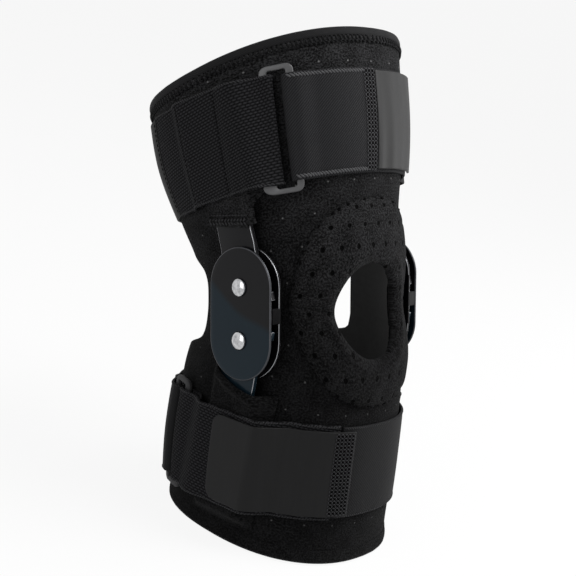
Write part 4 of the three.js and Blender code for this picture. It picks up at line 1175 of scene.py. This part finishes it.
def cover_plate(node, name, side):
    """The outer plate, stamped to an oval and very slightly domed, with a rounded edge."""
    far = max(abs(corner[0]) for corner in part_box(node)) / MM
    bpy.ops.object.select_all(action="DESELECT")
    bpy.ops.mesh.primitive_circle_add(vertices=96, radius=PLATE_RADIUS, fill_type="NGON",
                                      rotation=(0, 0, math.pi / 96))
    plate = bpy.context.object
    plate.name = plate.data.name = name
    bpy.ops.object.transform_apply(rotation=True)
    points = points_of(plate)
    points[:, 1] += np.sign(points[:, 1]) * PIVOT
    move_points(plate, points)
    edited(plate, *[lambda: bpy.ops.mesh.inset(thickness=3.4, depth=0)] * 6)
    across, up, _ = points_of(plate).T
    reach = np.hypot(np.maximum(np.abs(up) - PIVOT, 0), across) / PLATE_RADIUS
    points = np.array(hinge_middle) + (np.outer(up, hinge_up) + np.outer(across, hinge_back)) * MM
    points[:, 0] = side * (far + PLATE_CROWN * (1 - reach**2)) * MM
    move_points(plate, points)
    if plate.data.polygons[0].normal.x * side < 0:
        edited(plate, bpy.ops.mesh.flip_normals)
    # a painted blue reflection over the plate's lower part
    paint(plate, PAINTED_REFLECTION_LACQUER, EDGE)
    modified(plate, "SOLIDIFY", thickness=1.5 * MM, offset=-1)
    # the rounded edge takes a painted highlight line
    bevelled(plate, 0.7 * MM, 40, 3, material=1)
    return smooth_shade(plate, 40)


for side_name, side in SIDES.items():
    node = f"{side_name}_outer_plate"
    ride(cover_plate(node, f"{side_name}_cover_plate", side), "hinge_heads", "hinge_plate", node)
    node = f"{side_name}_inner_plate"
    # its cut edges take a painted highlight line
    plate = softened(node, f"{side_name}_back_plate", 0.3, LACQUER, HIGHLIGHT_EDGE)
    for polygon in plate.data.polygons:
        # the stop block between the plates, in shade, takes no painted highlight: it is lacquered all over
        if abs((polygon.center - hinge_middle).dot(hinge_up)) < STOP_BLOCK * MM:
            polygon.material_index = 0
    ride(plate, "hinge_heads", "hinge_plate", node)
    for half_name in HALVES:
        node = f"{side_name}_{half_name}_arm"
        # the stays take the painted blue reflection where they are low
        stay = softened(node, f"{side_name}_{half_name}_stay", 0.25, PAINTED_REFLECTION_LACQUER, HIGHLIGHT_EDGE)
        # its cut edges take a painted highlight line too
        ride(stay, half_name, "stay_bar", node)
        node = f"{side_name}_{half_name}_rivet"
        rivet = softened(node, f"{node}_dome", 0, CHROME, DARK_REFLECTION_NICKEL)
        # the sides of each dome take a painted dark reflection
        for polygon in rivet.data.polygons:
            polygon.material_index = int(abs(polygon.normal.x) < 0.6)
        ride(rivet, "hinge_heads", "rivet", node)

# the calf's ring takes the plastic painted darker as shade
for half_name, plastic in (("thigh", RING_PLASTIC), ("calf", SHADED_RING)):
    node = f"{half_name}_ring"
    ride(softened(node, f"{half_name}_loop", 0.7, plastic), half_name, "tri_ring", node)

# ---------------------------------- camera, light and floor
TURN_TO_SIDE, RAISED, ROLL, DISTANCE = 40.12, 5.78, 0.44, 872.94
AIM = (-11.92, 14.2, 9.82)

camera = bpy.data.objects.new("camera", bpy.data.cameras.new("camera"))
bpy.context.collection.objects.link(camera)
bpy.context.scene.camera = camera


def along_plates(x, y, z):
    """A direction given along the hinge plates, in the standing frame."""
    return Vector((1, 0, 0)) * x + hinge_back * y + hinge_up * z


beta, rise, roll = (math.radians(v) for v in (TURN_TO_SIDE, RAISED, ROLL))
back = along_plates(-math.cos(beta) * math.cos(rise), -math.sin(beta) * math.cos(rise), math.sin(rise))
level_right = hinge_up.cross(back).normalized()
level_up = back.cross(level_right)
right = level_right * math.cos(roll) + level_up * math.sin(roll)
above = level_up * math.cos(roll) - level_right * math.sin(roll)
place = hinge_middle + (back * DISTANCE + along_plates(*AIM)) * MM
camera.matrix_world = Matrix.Translation(place) @ Matrix((right, above, back)).transposed().to_4x4()
camera.data.sensor_width = 36
camera.data.lens = 88.7
camera.data.clip_start = 0.01

bpy.context.scene.view_settings.view_transform = "Standard"


def background_rays(tree):
    """1 where a ray shows the background, straight, mirrored or through glass; 0 where it only lights."""
    rays = add(tree, "LightPath").node.outputs
    seen = rays["Is Camera Ray"]
    for kind in ("Is Transmission Ray", "Is Glossy Ray"):
        seen = add(tree, "Math", [seen, rays[kind]], operation="MAXIMUM")
    return seen


world = bpy.data.worlds.new("studio")
bpy.context.scene.world = world
world.use_nodes = True
sky = world.node_tree
sky.nodes.clear()
ambient = add(sky, "Background", {"Color": linear("#ffffff"), "Strength": 0.24})
white = add(sky, "Background", {"Color": linear("#ffffff"), "Strength": 1.0})
add(sky, "OutputWorld", [add(sky, "MixShader", [background_rays(sky), ambient, white])])


def softbox(name, position, size, power):
    """A soft light aimed at the hinge; its place is in millimetres along the plates."""
    light = bpy.data.lights.new(name, "AREA")
    light.shape = "RECTANGLE"
    light.size, light.size_y = size
    light.energy = power
    lamp = bpy.data.objects.new(name, light)
    bpy.context.collection.objects.link(lamp)
    offset = along_plates(*position) * MM
    lamp.location = hinge_middle + offset
    lamp.rotation_euler = (-offset).to_track_quat("-Z", "Y").to_euler()


softbox("key", (350, -850, 850), (0.8, 0.8), 14)
softbox("side", (900, -500, 150), (0.5, 1.0), 6)
softbox("fill", (-1000, -100, 300), (0.8, 1.0), 4)

# The floor: white paper, which to the eye and in reflections is mostly a glow, with a trace of the shadow
bpy.ops.mesh.primitive_plane_add(size=60, location=(0, 0, -0.0006))
floor = bpy.context.object
floor.name = "floor"
paper, tree, shader = new_material("white_paper", 0.9, Specular_IOR_Level=0.1)
shader.inputs["Base Color"].default_value = linear("#f4f4f4")
glow = add(tree, "Emission", {"Color": linear("#ffffff"), "Strength": 1.0})
seen = add(tree, "Math", [background_rays(tree), 0.9], operation="MULTIPLY")
pale = add(tree, "MixShader", [seen, shader.outputs[0], glow])
tree.links.new(pale, tree.nodes["Material Output"].inputs["Surface"])
paint(floor, paper)

# ---------------------------------- finishes of the frame's own parts
for name, material in (("_plate", LACQUER), ("_arm", ANODISED), ("_rivet", CHROME), ("_washer", NYLON),
                       ("_pocket", PILE), ("_elastic", ELASTIC), ("_webbing", WEBBING), ("_tab", TAB),
                       ("_ring", RING_PLASTIC), ("_binding", TAPE), ("_pad", PAD_PLUSH), ("_sleeve", PLUSH)):
    for key, node in frame["nodes"].items():
        if name in key:
            paint(node, material)
